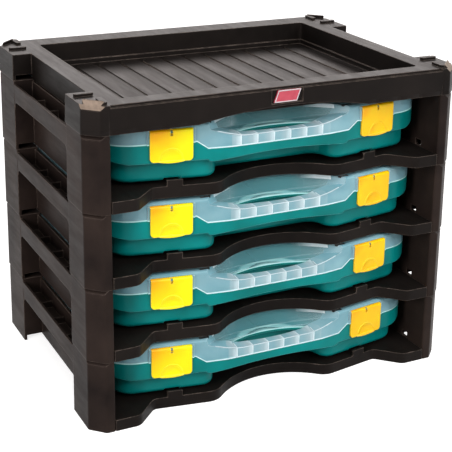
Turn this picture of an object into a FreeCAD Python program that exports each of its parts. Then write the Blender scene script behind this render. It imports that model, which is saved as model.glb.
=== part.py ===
"""Hobby workstation organizer: four stacked rack levels, a top tray and four carrying cases.

Millimetres. The origin is on the floor, under the middle of the rack. +X is to the
right, +Y to the back, +Z up. Depths named "from the front" are measured from the
plane of the front posts, and heights within a level from that level's lower seam.
"""
import FreeCAD
import Part
import math
import os

V = FreeCAD.Vector

# ---------------------------------------------------------------- driving dimensions
# Rack
RACK_WIDTH = 430.0
RACK_DEPTH = 308.0
LEVEL_COUNT = 4
LEVEL_PITCH = 79.5
WALL = 3.0                 # posts and side walls
THIN_WALL = 2.6            # lip, rails and back walls
POST_CHAMFER = 15.0
POST_EDGE_RADIUS = 4.0
POST_INNER_RADIUS = 2.5
POST_CORE_RADIUS = 1.0     # inside the hollow posts
POST_WIDTH = 25.0          # across X, over its inner wall
FRONT_POST_LENGTH = 60.0   # along Y
REAR_POST_LENGTH = 70.0
POST_DRAFT = 0.8           # how far the outer faces lean in from foot to top
POST_CAP = 3.0             # top plate of a post
POST_END_GAP = 6.0         # open foot of the wall that ends a post
SIDE_WALL_FOOT = 4.0       # inner walls start this far above the seam
SIDE_WALL_TOP = 77.0
SIDE_HOLE = (32.0, 42.0, 13.4, 20.0)   # slot in the inner wall: from, to, low, high

# Shelf, lip and stop tabs
LIP_HEIGHT = 12.5
SHELF_THICKNESS = 2.5
LIP_FLAT_LENGTH = 27.0     # straight ends of the lip beside the posts
LIP_FLAT_RADIUS = 12.0
LIP_SET_BACK = 24.5        # lip's depth at the outer valley
LIP_SLANT_LENGTH = 25.0    # across X, down to the outer valley
LIP_VALLEY_RADIUS = 8.0
LIP_CREST_HALF = 68.2
LIP_CREST_DEPTH = 12.7
LIP_CREST_RADIUS = 20.0
HAND_ARC_RADIUS = 90.0     # hollow of the lip in front of a case's handle
HAND_ARC_APEX = 73.3       # where the two tangents of that hollow meet
TAB_OFFSET = 115.0         # middle of a stop tab from the rack's middle
TAB_WIDTH = 16.0
TAB_TOP = 19.0
SHELF_RIB = 2.0
SHELF_RIB_DEPTH = 5.5
SHELF_RIB_COUNT = 7

# Side rails
RAIL_LOW = 56.0
RAIL_TOP = 75.5
RAIL_RIB_COUNT = 3
RAIL_RIB_HEIGHT = 8.0
WINDOW_CORNER_RADIUS = 8.0 # round corners of the open side below the rail

# Back walls
BACK_STOP_TOP = 34.0
BACK_RAIL_LOW = 60.0

# Stacking pegs and corner humps on top of each post
PEG_LENGTH = 20.0
PEG_WIDTH = 6.0
PEG_HEIGHT = 3.0
PEG_SIDE_DEPTH = 45.0      # peg along X, from the near face of the rack
PEG_FRONT_OFFSET = 21.5    # peg along Y, from the outer side face
PEG_START = 4.0
HUMP_HEIGHT = 5.0
HUMP_BEVEL_DROP = 4.0
HUMP_BEVEL_SLOPE = 0.85
HUMP_LEG = 5.0
HUMP_TIP_RADIUS = 0.8
HUMP_CLEARANCE = 0.5       # hump to the wall of the foot above it

# Top tray
TRAY_HEIGHT = 29.0         # seam to rim
TRAY_RIM_SIDE = 43.4       # outer side plane to the cavity
TRAY_RIM_FRONT = 22.7
TRAY_RIM_BACK = 31.0
TRAY_WALL = 2.5
TRAY_FLOOR_LIFT = 0.4      # underside of the floor above the seam
TRAY_FLOOR = 2.2
TRAY_LEDGE_DEPTH = 21.0    # rim to the step in the cavity wall
TRAY_LEDGE_WIDTH = 1.8
TRAY_CORNER_RADIUS = 5.0
TRAY_REBATE = 2.6
TRAY_REBATE_END = 0.5      # rebate's ends to the corner posts
TRAY_ARCH_RISE = 9.5
TRAY_ARCH_HALF = 98.0
FLUTE_COUNT = 12
FLUTE_HEIGHT = 1.2
FLUTE_GAP = 4.0
FLUTE_MARGIN = 9.0
BADGE_BAY_WIDTH = 36.0
BADGE_BAY_DEPTH = 1.6
BADGE_BAY_LOW = 12.0       # above the tray's seam
BADGE_WIDTH = 26.0
BADGE_HEIGHT = 12.5
BADGE_SLANT = 4.5
BADGE_THICKNESS = 1.8
BADGE_LIFT = 1.2

# Carrying case, heights from the level's seam
CASE_SIDE_GAP = 1.0        # case to each side frame
CASE_BACK_GAP = 13.5       # back of the rim to the back of the rack; the hinge stands in it
CASE_FRONT = 9.0           # handle's front face, from the front of the rack
CASE_TOP = 76.0
CASE_JOINT = 57.6          # where lid and base meet
CASE_BOTTOM = 16.0
CASE_FLANK_SLOPE = 0.163   # how the front falls back towards the corners
CASE_FLANK_DEPTH = 30.3    # front corner, before rounding
CASE_CORNER_RADIUS = 42.0
CASE_REAR_RADIUS = 14.0
CASE_BEND_RADIUS = 150.0
CASE_WALL = 2.2
LID_WALL = 1.8
LID_EDGE_RADIUS = 3.0
RIM_LOW = 50.0             # underside of the rim at the sides
APRON_LOW = 38.5           # underside of the rim at the front
APRON_END = 66.0           # where the apron has faded into the rim
APRON_START = 27.0
BODY_SIDE_SET_BACK = 14.0
BODY_FRONT_SET_BACK = 9.0
BODY_BACK_SET_BACK = 8.0
BODY_CORNER_RADIUS = 24.0
BODY_BOTTOM_RADIUS = 5.5
LOBE_HALF = 70.0           # inner ends of the two front lobes
LOBE_RADIUS = 14.0
BODY_HOLLOW_HALF = 61.0
BODY_HOLLOW_DEPTH = 47.0
RUNNER_SIDE_GAP = 25.0     # runner's middle, in from the body's side
RUNNER_WIDTH = 6.0
RUNNER_START = 48.0
GROOVE_CLEARANCE = 1.0
GROOVE_HEADROOM = 0.5
CASE_TRAVEL = 250.0        # until the groove's end meets the stop tab
TRAVEL_SLACK = 1.5

# Bow handle
GRIP_JOINT = 49.5          # lid and base meet lower along the handle
GRIP_LOW = 36.0            # underside of the handle at its ends
GRIP_HALF = 82.0
GRIP_RAMP = 11.5
GRIP_TOP = 60.3            # flat top of the handle in its middle
GRIP_BACK = 19.0           # back of the grip at its middle
GRIP_BACK_RADIUS = 195.0
HAND_HOLE_BACK = 38.5
HAND_HOLE_RADIUS = 106.0
GRIP_NOTCH_BACK = 26.0
GRIP_ARCH_RISE = 4.5
GRIP_ARCH_HALF = 74.0
GRIP_STEP_GAP = 0.3        # behind the lid's lowered front
GRIP_RIB_COUNT = 6
GRIP_RIB_SPACING = 19.0
GRIP_RIB = 1.6
SCOOP_RADIUS = 250.0
SCOOP_LOW = 56.8           # lowest point of the scoop, at the handle's front
SCOOP_SLOPE = 0.097
SCOOP_LENGTH = 120.0
BOWL_TOP_RADIUS = 107.5
BOWL_TOP_BACK = 52.0
BOWL_LOW_RADIUS = 100.0
BOWL_LOW_BACK = 46.0
PILL_OFFSET = 82.0
PILL_DEPTH_IN = 19.5
PILL_LENGTH = 12.0
PILL_WIDTH = 4.4
PILL_SINK = 1.0

# Latches
LATCH_OFFSET = 120.0
LATCH_WIDTH = 44.0
LATCH_TOP_PIVOT = 70.0
LATCH_LOW = 40.0
LATCH_FACE = 2.8           # outer face, in front of the case
LATCH_GAP = 0.4
LATCH_BARREL_RADIUS = 3.0
LATCH_PIN_RADIUS = 1.5
LATCH_PIN_IN = 0.2         # pin's axis behind the case's face
PIN_CLEARANCE = 0.05
LATCH_SIDE_GAP = 0.4
LATCH_CORNER_RADIUS = 4.0
LATCH_SLOT_WIDTH = 2.6
LATCH_SLOT_HEIGHT = 6.5
EAR = 2.2
EAR_FACE = 1.7
BEAD_HALF = 10.0           # snap bead on the latch's back
BEAD_LOW = 43.5
BEAD_HEIGHT = 2.5
BEAD_GAP = 0.15            # bead to the rim's face
THUMB_RADIUS = 32.0
THUMB_SINK = 1.5
THUMB_HEIGHT = 2.0         # thumb hollow's middle above the latch's lower edge
LATCH_LIP_HALF = 13.0
LATCH_LIP_DROP = 1.3
LATCH_LIP_REACH = 0.9      # finger lip in front of the latch's face
LATCH_LIP_HEIGHT = 2.2

# Lid hinge
HINGE_OFFSET = 110.0
HINGE_SET_OUT = 1.0        # hinge axis behind the rim
HINGE_HEIGHT = 54.0
HINGE_PIN_RADIUS = 1.6
HINGE_BARREL_RADIUS = 3.3
HINGE_EAR_RADIUS = 3.5
HINGE_BARREL_LENGTH = 16.0
HINGE_EAR = 5.0
HINGE_SIDE_GAP = 0.4

# Dividers
DIVIDER = 1.2
DIVIDER_TOP = 55.0
LONG_DIVIDERS = (128.0, 210.0)       # plates across the case, depth from the front
SHORT_DIVIDERS = (-96.0, 0.0, 96.0)  # plates that part the front row
DIVIDER_END_GAP = 0.3
DIVIDER_SLOT_DEPTH = 12.0            # how far a short plate hooks over the long one
DIVIDER_SLOT_GAP = 0.15

# ---------------------------------------------------------------- derived dimensions
HALF_WIDTH = RACK_WIDTH / 2
FRONT = -RACK_DEPTH / 2
BACK = RACK_DEPTH / 2
BAY_HALF = HALF_WIDTH - POST_WIDTH
INNER_WALL = POST_WIDTH - WALL
CASE_HALF = BAY_HALF - CASE_SIDE_GAP
CASE_BACK = RACK_DEPTH - CASE_BACK_GAP
HINGE_BACK = CASE_BACK + HINGE_SET_OUT
TRAY_SEAM = LEVEL_COUNT * LEVEL_PITCH
RUNNER_MIDDLE = CASE_HALF - BODY_SIDE_SET_BACK - RUNNER_SIDE_GAP
SHELF_BACK = BACK - POST_DRAFT - THIN_WALL   # near face of the back walls
FLANK_ANGLE = math.degrees(math.atan(CASE_FLANK_SLOPE))
OVER = 1.0                 # how far a cutting tool runs past what it cuts


# ---------------------------------------------------------------- shape helpers
def y_at(depth):
    """Y of a place given by its depth from the front of the rack."""
    return FRONT + depth


def box(x0, x1, y0, y1, z0, z1):
    """Block between two opposite corners."""
    return Part.makeBox(x1 - x0, y1 - y0, z1 - z0, V(x0, y0, z0))


def outline(corners, z):
    """Closed wire through (x, y, radius) corners, each rounded to its radius."""
    count = len(corners)
    stretches = []
    for index, (x, y, radius) in enumerate(corners):
        corner = V(x, y, z)
        before = V(corners[index - 1][0], corners[index - 1][1], z) - corner
        after = V(corners[(index + 1) % count][0], corners[(index + 1) % count][1], z) - corner
        before.normalize()
        after.normalize()
        half = before.getAngle(after) / 2
        if radius <= 0:
            stretches.append((corner, None, corner))
            continue
        reach = radius / math.tan(half)
        middle = (before + after).normalize() * (radius / math.sin(half) - radius)
        stretches.append((corner + before * reach, corner + middle, corner + after * reach))
    edges = []
    for index, (start, middle, end) in enumerate(stretches):
        if middle is not None:
            edges.append(Part.Arc(start, middle, end).toShape())
        following = stretches[(index + 1) % count][0]
        if (following - end).Length > 1e-6:
            edges.append(Part.LineSegment(end, following).toShape())
    return Part.Wire(edges)


def prism(corners, z0, z1):
    """Upright solid over a rounded outline."""
    return Part.Face(outline(corners, z0)).extrude(V(0, 0, z1 - z0))


def inset_prism(corners, inset, z0, z1):
    """Upright solid whose sides stand inside the outline by an even distance."""
    face = Part.Face(outline(corners, z0)).makeOffset2D(-inset)
    return face.extrude(V(0, 0, z1 - z0))


def side_profile(points, x0, x1):
    """Solid with a (y, z) outline, running along X."""
    corners = [V(x0, y, z) for y, z in points]
    return Part.Face(Part.makePolygon(corners + corners[:1])).extrude(V(x1 - x0, 0, 0))


def front_profile(points, y0, y1):
    """Solid with an (x, z) outline, running along Y."""
    corners = [V(x, y0, z) for x, z in points]
    return Part.Face(Part.makePolygon(corners + corners[:1])).extrude(V(0, y1 - y0, 0))


def rod(radius, length, start, direction):
    """Cylinder from a point along a direction."""
    return Part.makeCylinder(radius, length, start, direction)


def mirrored_x(shape):
    """The same shape on the other side of the middle plane."""
    return shape.mirror(V(0, 0, 0), V(1, 0, 0))


def mirrored_y(shape):
    """The same shape at the other end of the rack."""
    return shape.mirror(V(0, 0, 0), V(0, 1, 0))


def fuse_all(shapes):
    """One solid from many."""
    return shapes[0].multiFuse(shapes[1:]).removeSplitter()


def moved(shape, x=0.0, y=0.0, z=0.0):
    """A shifted copy."""
    copy = shape.copy()
    copy.translate(V(x, y, z))
    return copy


def write(shape, node):
    """Write one node's STEP file."""
    if not shape.isValid():
        print("invalid shape in", node)
    shape.exportStep("parts/" + node + ".step")
    print(node, "solids", len(shape.Solids), "volume", round(shape.Volume, 1))


# ---------------------------------------------------------------- rack: corner posts
def post_corners(length, inset, inner_inset, outer_radius, inner_radius):
    """Plan of a front left post, its outer and inner faces moved in by the insets."""
    left = -HALF_WIDTH + inset
    near = FRONT + inset
    diagonal = POST_CHAMFER + inset * (math.sqrt(2) - 1)
    inner = -HALF_WIDTH + POST_WIDTH - inner_inset
    far = FRONT + length - inner_inset
    return [(left, FRONT + diagonal, outer_radius), (-HALF_WIDTH + diagonal, near, outer_radius),
            (inner, near, inner_radius), (inner, far, 0), (left, far, 0)]


def post_outside(length, inset):
    """Outer plan of a post."""
    return post_corners(length, inset, 0.0, POST_EDGE_RADIUS, POST_INNER_RADIUS)


def post_hollow(length, inset):
    """Plan of the space inside a post."""
    return post_corners(length, inset, WALL, POST_CORE_RADIUS, 0)


def peg(x, y, along_x, z):
    """Low rounded rib that locates the level above."""
    half = PEG_LENGTH / 2
    end = PEG_WIDTH / 2
    lengths = (half, end) if along_x else (end, half)
    corners = [(x + sx * lengths[0], y + sy * lengths[1], end - 0.01)
               for sx, sy in ((-1, -1), (1, -1), (1, 1), (-1, 1))]
    return prism(corners, z - OVER, z + PEG_HEIGHT)


def hump_bevel(top):
    """Tool that bevels a post's top along its chamfer, from outside the hump."""
    run = (HUMP_BEVEL_DROP + HUMP_HEIGHT + OVER) * HUMP_BEVEL_SLOPE
    low = top - HUMP_BEVEL_DROP
    high = top + HUMP_HEIGHT + OVER
    reach = POST_CHAMFER + POST_WIDTH
    profile = [V(-reach, 0, low - OVER), V(0, 0, low - OVER), V(0, 0, low),
               V(run, 0, high), V(-reach, 0, high)]
    tool = Part.Face(Part.makePolygon(profile + profile[:1])).extrude(V(0, 2 * reach, 0))
    tool.translate(V(0, -reach, 0))
    tool.rotate(V(0, 0, 0), V(0, 0, 1), 45)
    corner = V(-HALF_WIDTH + POST_CHAMFER / 2, FRONT + POST_CHAMFER / 2, 0)
    tool.translate(corner + V(1, 1, 0).normalize() * POST_DRAFT)
    return tool


def front_left_post(length, height):
    """Hollow post, open below, with a cap, two pegs and a corner hump on it."""
    foot = outline(post_outside(length, 0.0), 0)
    head = outline(post_outside(length, POST_DRAFT), height)
    body = Part.makeLoft([foot, head], True, True)
    core = prism(post_hollow(length, WALL + POST_DRAFT), -OVER, height - POST_CAP)
    foot_core = prism(post_hollow(length, WALL), -OVER, HUMP_HEIGHT + OVER)
    left = -HALF_WIDTH
    end_gap = box(left + WALL, left + INNER_WALL, FRONT + length - WALL - OVER, FRONT + length + OVER,
                  -OVER, POST_END_GAP)
    wall = WALL + POST_DRAFT
    start = wall + HUMP_CLEARANCE
    diagonal = POST_CHAMFER + wall * (math.sqrt(2) - 1)
    hump = prism([(left + start, FRONT + diagonal, 0), (left + diagonal, FRONT + start, 0),
                  (left + diagonal + HUMP_LEG, FRONT + start, HUMP_TIP_RADIUS),
                  (left + start, FRONT + diagonal + HUMP_LEG, HUMP_TIP_RADIUS)],
                 height - OVER, height + HUMP_HEIGHT)
    side_peg = peg(left + PEG_START + PEG_LENGTH / 2, FRONT + PEG_SIDE_DEPTH, True, height)
    front_peg = peg(left + PEG_FRONT_OFFSET, FRONT + PEG_START + PEG_LENGTH / 2 + POST_DRAFT, False, height)
    solid = fuse_all([body, hump, side_peg, front_peg])
    return solid.cut(hump_bevel(height)).cut(core).cut(foot_core).cut(end_gap).cut(peg_passage(length))


def peg_passage(length):
    """Gap under a post's inner wall for the pegs of the level below."""
    left = -HALF_WIDTH
    return box(left + INNER_WALL - OVER, left + POST_WIDTH + OVER, FRONT + WALL, FRONT + length + OVER,
               -OVER, SIDE_WALL_FOOT)


def four_posts(height):
    """Corner posts of one level, or of the tray."""
    front = front_left_post(FRONT_POST_LENGTH, height)
    rear = mirrored_y(front_left_post(REAR_POST_LENGTH, height))
    return [front, rear, mirrored_x(front), mirrored_x(rear)]


# ---------------------------------------------------------------- rack: one level
def lip_corners(side):
    """Plan of the shelf, its front edge following the lip."""
    half = [(side, SHELF_BACK, 0), (side, FRONT, 0), (BAY_HALF - LIP_FLAT_LENGTH, FRONT, LIP_FLAT_RADIUS),
            (BAY_HALF - LIP_FLAT_LENGTH - LIP_SLANT_LENGTH, y_at(LIP_SET_BACK), LIP_VALLEY_RADIUS),
            (LIP_CREST_HALF, y_at(LIP_CREST_DEPTH), LIP_CREST_RADIUS)]
    other = [(-x, y, r) for x, y, r in reversed(half)]
    return half + [(0.0, y_at(HAND_ARC_APEX), HAND_ARC_RADIUS)] + other


def lip_band(low, high):
    """Upright strip along the front edge of the shelf."""
    corners = lip_corners(BAY_HALF + 2 * THIN_WALL)
    band = prism(corners, low, high).cut(inset_prism(corners, THIN_WALL, low - OVER, high + OVER))
    return band.common(box(-BAY_HALF, BAY_HALF, FRONT, y_at(HAND_ARC_APEX), low, high))


def shelf():
    """Middle of one moulded level: shelf panel with its lip, stop tabs and stiffening ribs."""
    panel = prism(lip_corners(BAY_HALF), LIP_HEIGHT - SHELF_THICKNESS, LIP_HEIGHT)
    pieces = [panel, lip_band(0.0, LIP_HEIGHT)]
    tall_band = lip_band(0.0, TAB_TOP)
    for side in (-1, 1):
        middle = side * TAB_OFFSET
        pieces.append(tall_band.common(box(middle - TAB_WIDTH / 2, middle + TAB_WIDTH / 2,
                                           FRONT, BACK, LIP_HEIGHT - OVER, TAB_TOP)))
    rib_low = LIP_HEIGHT - SHELF_THICKNESS - SHELF_RIB_DEPTH
    rib_top = LIP_HEIGHT - SHELF_THICKNESS / 2
    rib_start = y_at(HAND_ARC_APEX)
    spacing = 2 * BAY_HALF / (SHELF_RIB_COUNT + 1)
    for index in range(SHELF_RIB_COUNT):
        x = (index + 1) * spacing - BAY_HALF
        pieces.append(box(x - SHELF_RIB / 2, x + SHELF_RIB / 2, rib_start, SHELF_BACK,
                          rib_low, rib_top))
    pieces.append(box(-BAY_HALF, BAY_HALF, rib_start - SHELF_RIB, rib_start, rib_low, rib_top))
    return fuse_all(pieces)


def side_rail():
    """Left inner wall and the ribbed trough of the side rail outside it."""
    left = -HALF_WIDTH
    near = FRONT + FRONT_POST_LENGTH - OVER
    far = BACK - REAR_POST_LENGTH + OVER
    wall = box(left + INNER_WALL, left + POST_WIDTH, near, far, SIDE_WALL_FOOT, SIDE_WALL_TOP)
    outer = box(left + POST_DRAFT, left + POST_DRAFT + THIN_WALL, near, far, RAIL_LOW, RAIL_TOP)
    floor = box(left + POST_DRAFT, left + INNER_WALL + OVER, near, far, RAIL_LOW, RAIL_LOW + THIN_WALL)
    pieces = [wall, outer, floor]
    spacing = (far - near) / (RAIL_RIB_COUNT + 1)
    for index in range(1, RAIL_RIB_COUNT + 1):
        y = near + index * spacing
        pieces.append(box(left + POST_DRAFT, left + INNER_WALL + OVER, y - SHELF_RIB / 2, y + SHELF_RIB / 2,
                          RAIL_LOW, RAIL_LOW + THIN_WALL + RAIL_RIB_HEIGHT))
    for start, step in ((near, 1), (far, -1)):
        end = start + step * (OVER + WINDOW_CORNER_RADIUS)
        low = RAIL_LOW - WINDOW_CORNER_RADIUS
        corner = box(left + POST_DRAFT, left + POST_DRAFT + THIN_WALL, min(start, end), max(start, end),
                     low, RAIL_LOW + OVER)
        pieces.append(corner.cut(rod(WINDOW_CORNER_RADIUS, WALL + 2 * OVER, V(left, end, low), V(1, 0, 0))))
    return pieces


def back_wall():
    """Back of one moulded level: the stop wall behind the shelf and the back rail above it."""
    stop = box(-BAY_HALF, BAY_HALF, SHELF_BACK, SHELF_BACK + THIN_WALL, SIDE_WALL_FOOT, BACK_STOP_TOP)
    rail = box(-BAY_HALF, BAY_HALF, SHELF_BACK, SHELF_BACK + THIN_WALL, BACK_RAIL_LOW, SIDE_WALL_TOP)
    return Part.makeCompound([stop, rail])


def left_frame():
    """Left side of one moulded level: two posts, inner wall and rail."""
    front = front_left_post(FRONT_POST_LENGTH, LEVEL_PITCH)
    rear = mirrored_y(front_left_post(REAR_POST_LENGTH, LEVEL_PITCH))
    near, far, low, high = SIDE_HOLE
    slot = side_profile([(y_at(near), low), (y_at(far), low), (y_at(far), high), (y_at(near), high)],
                        -BAY_HALF - WALL - OVER, -BAY_HALF + OVER)
    return fuse_all([front, rear] + side_rail()).cut(slot)


# ---------------------------------------------------------------- top tray
def cavity_corners(inset):
    """Plan of the tray's cavity."""
    x = HALF_WIDTH - TRAY_RIM_SIDE - inset
    near = y_at(TRAY_RIM_FRONT) + inset
    far = BACK - TRAY_RIM_BACK - inset
    radius = TRAY_CORNER_RADIUS - inset
    return [(-x, near, radius), (x, near, radius), (x, far, radius), (-x, far, radius)]


def flutes(low):
    """Broad raised strips on the tray's floor, running front to back."""
    half = HALF_WIDTH - TRAY_RIM_SIDE - TRAY_LEDGE_WIDTH - FLUTE_MARGIN
    near = y_at(TRAY_RIM_FRONT) + TRAY_LEDGE_WIDTH + FLUTE_MARGIN
    far = BACK - TRAY_RIM_BACK - TRAY_LEDGE_WIDTH - FLUTE_MARGIN
    pitch = (2 * half + FLUTE_GAP) / FLUTE_COUNT
    strips = []
    for index in range(FLUTE_COUNT):
        x0 = -half + index * pitch
        x1 = x0 + pitch - FLUTE_GAP
        radius = (x1 - x0) / 2 - 0.05
        strips.append(prism([(x0, near, radius), (x1, near, radius), (x1, far, radius), (x0, far, radius)],
                            low - OVER / 2, low + FLUTE_HEIGHT))
    return strips


def top_tray():
    """Open tray that caps the stack, standing at height zero."""
    top = TRAY_HEIGHT
    floor_low = TRAY_FLOOR_LIFT
    floor_top = floor_low + TRAY_FLOOR
    ledge = top - TRAY_LEDGE_DEPTH
    skirt = HALF_WIDTH - INNER_WALL
    shell_front = y_at(POST_DRAFT)
    outer = box(-skirt, skirt, shell_front, BACK - POST_DRAFT, 0.0, top)
    under = box(-skirt + TRAY_WALL, skirt - TRAY_WALL, FRONT + POST_DRAFT + WALL,
                BACK - POST_DRAFT - WALL, -OVER, top - TRAY_WALL)
    shell = outer.cut(under)
    upper = prism(cavity_corners(-TRAY_WALL), ledge - TRAY_WALL, top)
    lower = prism(cavity_corners(TRAY_LEDGE_WIDTH - TRAY_WALL), floor_low, ledge)
    tray = fuse_all([shell, upper, lower])
    for length, flip in ((FRONT_POST_LENGTH, False), (REAR_POST_LENGTH, True)):
        gap = mirrored_y(peg_passage(length)) if flip else peg_passage(length)
        tray = tray.cut(gap).cut(mirrored_x(gap))
    tray = tray.cut(prism(cavity_corners(0.0), ledge, top + OVER))
    tray = tray.cut(prism(cavity_corners(TRAY_LEDGE_WIDTH), floor_top, ledge + OVER))
    cavity_side = HALF_WIDTH - TRAY_RIM_SIDE
    rebate_half = BAY_HALF - TRAY_REBATE_END
    rebate = box(-rebate_half, rebate_half, FRONT - OVER, y_at(POST_DRAFT + TRAY_REBATE),
                 top - TRAY_REBATE, top + OVER)
    rise = TRAY_ARCH_RISE
    radius = (TRAY_ARCH_HALF ** 2 + rise ** 2) / (2 * rise)
    arch = rod(radius, POST_DRAFT + WALL + 2 * OVER, V(0, FRONT - OVER, rise - radius), V(0, 1, 0))
    arch = arch.common(box(-cavity_side, cavity_side, FRONT - OVER, y_at(POST_DRAFT + WALL + OVER),
                           -OVER, rise))
    bay = box(-BADGE_BAY_WIDTH / 2, BADGE_BAY_WIDTH / 2, FRONT - OVER, y_at(POST_DRAFT + BADGE_BAY_DEPTH),
              BADGE_BAY_LOW, top + OVER)
    tray = tray.cut(rebate).cut(arch).cut(bay)
    return fuse_all([tray] + four_posts(top) + flutes(floor_top))


def badge_plate():
    """Bare slanted plate seated in the tray's front bay, at the tray's height zero."""
    low = BADGE_BAY_LOW + BADGE_LIFT
    half = BADGE_WIDTH / 2
    lean = BADGE_SLANT / 2
    face = y_at(POST_DRAFT + BADGE_BAY_DEPTH)
    return front_profile([(-half - lean, low), (half - lean, low), (half + lean, low + BADGE_HEIGHT),
                          (-half + lean, low + BADGE_HEIGHT)], face - BADGE_THICKNESS, face)


# ---------------------------------------------------------------- case: outlines
def mirrored_outline(half):
    """Full outline from its right half, listed from the back to the front."""
    return half + [(-x, y, r) for x, y, r in reversed(half)]


def rim_corners():
    """Plan of the case's rim, lid and base alike."""
    bend = CASE_HALF - (CASE_FLANK_DEPTH - CASE_FRONT) / CASE_FLANK_SLOPE
    return mirrored_outline([(CASE_HALF, y_at(CASE_BACK), CASE_REAR_RADIUS),
                             (CASE_HALF, y_at(CASE_FLANK_DEPTH), CASE_CORNER_RADIUS),
                             (bend, y_at(CASE_FRONT), CASE_BEND_RADIUS)])


def flank_depth(x):
    """Depth of the case's front face at a distance from its middle."""
    return CASE_FLANK_DEPTH - CASE_FLANK_SLOPE * (CASE_HALF - x)


def body_corners():
    """Plan of the base's body, with two front lobes beside the handle."""
    side = CASE_HALF - BODY_SIDE_SET_BACK
    return mirrored_outline([
        (side, y_at(CASE_BACK - BODY_BACK_SET_BACK), CASE_REAR_RADIUS),
        (side, y_at(flank_depth(side) + BODY_FRONT_SET_BACK), BODY_CORNER_RADIUS),
        (LOBE_HALF, y_at(flank_depth(LOBE_HALF) + BODY_FRONT_SET_BACK), LOBE_RADIUS),
        (BODY_HOLLOW_HALF, y_at(BODY_HOLLOW_DEPTH), LOBE_RADIUS)])


def hand_hole(grow):
    """Lens between the grip and the case, wider by grow all round."""
    low = GRIP_LOW - OVER
    height = CASE_TOP + OVER - low
    behind = rod(GRIP_BACK_RADIUS + grow, height, V(0, y_at(GRIP_BACK + GRIP_BACK_RADIUS), low), V(0, 0, 1))
    before = rod(HAND_HOLE_RADIUS + grow, height,
                 V(0, y_at(HAND_HOLE_BACK - HAND_HOLE_RADIUS), low), V(0, 0, 1))
    return behind.common(before)


def grip_step(grow, low, high):
    """Space of the handle's lowered joint, with its two ramps."""
    half = GRIP_HALF - grow
    ramp = GRIP_RAMP
    drop = high - low
    slope = ramp / (CASE_JOINT - GRIP_JOINT)
    return front_profile([(-half, low), (half, low), (half + slope * drop, high),
                          (-half - slope * drop, high)], FRONT, y_at(GRIP_NOTCH_BACK - grow))


def latch_place(shape, side):
    """Move a shape from the latch's own frame to a flank of the case.

    In that frame X runs along the flank, Y points into the case and the case's
    face is at Y = 0.
    """
    placed = shape.copy()
    placed.rotate(V(0, 0, 0), V(0, 0, 1), side * FLANK_ANGLE)
    placed.translate(V(side * LATCH_OFFSET, y_at(flank_depth(LATCH_OFFSET)), 0))
    return placed


def at_both_latches(shape):
    """A pair of copies, one on each flank."""
    return [latch_place(shape, -1), latch_place(shape, 1)]


# ---------------------------------------------------------------- case: base
def rim_skin():
    """Thin rim wall with its top plate, deep at the front and shallow at the sides."""
    rim = rim_corners()
    wall = prism(rim, APRON_LOW, CASE_JOINT).cut(
        inset_prism(rim, CASE_WALL, APRON_LOW - OVER, CASE_JOINT - CASE_WALL))
    below = side_profile([(y_at(APRON_START), APRON_LOW - OVER), (y_at(APRON_START), APRON_LOW),
                          (y_at(APRON_END), RIM_LOW), (y_at(CASE_BACK + OVER), RIM_LOW),
                          (y_at(CASE_BACK + OVER), APRON_LOW - OVER)], -CASE_HALF - OVER, CASE_HALF + OVER)
    return wall.cut(below)


def grip_bar():
    """Lower half of the bow handle, arched underneath."""
    half = GRIP_HALF
    run = APRON_LOW - GRIP_LOW
    profile = front_profile([(-half + run, GRIP_LOW), (half - run, GRIP_LOW), (half, APRON_LOW),
                             (half, GRIP_JOINT), (-half, GRIP_JOINT), (-half, APRON_LOW)],
                            FRONT, y_at(GRIP_NOTCH_BACK))
    return prism(rim_corners(), GRIP_LOW, GRIP_JOINT).common(profile)


def grip_arch():
    """Tool that hollows the handle's lower edge."""
    rise = GRIP_ARCH_RISE
    half = GRIP_ARCH_HALF
    radius = (half ** 2 + rise ** 2) / (2 * rise)
    low = GRIP_LOW + rise - radius
    arch = rod(radius, CASE_FRONT + GRIP_BACK, V(0, FRONT, low), V(0, 1, 0))
    return arch.common(box(-half, half, FRONT, y_at(GRIP_NOTCH_BACK), GRIP_LOW - OVER, GRIP_LOW + rise))


def groove(grow):
    """Channel under the base that a stop tab runs in, closed at its back end."""
    half = TAB_WIDTH / 2 + GROOVE_CLEARANCE + grow
    end = LIP_SET_BACK + THIN_WALL + CASE_TRAVEL + TRAVEL_SLACK + grow
    top = TAB_TOP + GROOVE_HEADROOM + grow
    return box(TAB_OFFSET - half, TAB_OFFSET + half, FRONT, y_at(end), CASE_BOTTOM - OVER, top)


def hinge_ears():
    """Pairs of ears behind the rim that hold the lid's hinge pins."""
    pieces = []
    inner = HINGE_BARREL_LENGTH / 2 + HINGE_SIDE_GAP
    for middle in (-HINGE_OFFSET, HINGE_OFFSET):
        for side in (-1, 1):
            start = middle + side * inner if side > 0 else middle - inner - HINGE_EAR
            round_end = rod(HINGE_EAR_RADIUS, HINGE_EAR,
                            V(start, y_at(HINGE_BACK), HINGE_HEIGHT), V(1, 0, 0))
            root = box(start, start + HINGE_EAR, y_at(CASE_BACK - CASE_WALL), y_at(HINGE_BACK),
                       HINGE_HEIGHT - HINGE_EAR_RADIUS, HINGE_HEIGHT + HINGE_EAR_RADIUS)
            pieces.append(round_end.fuse(root))
    return pieces


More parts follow.
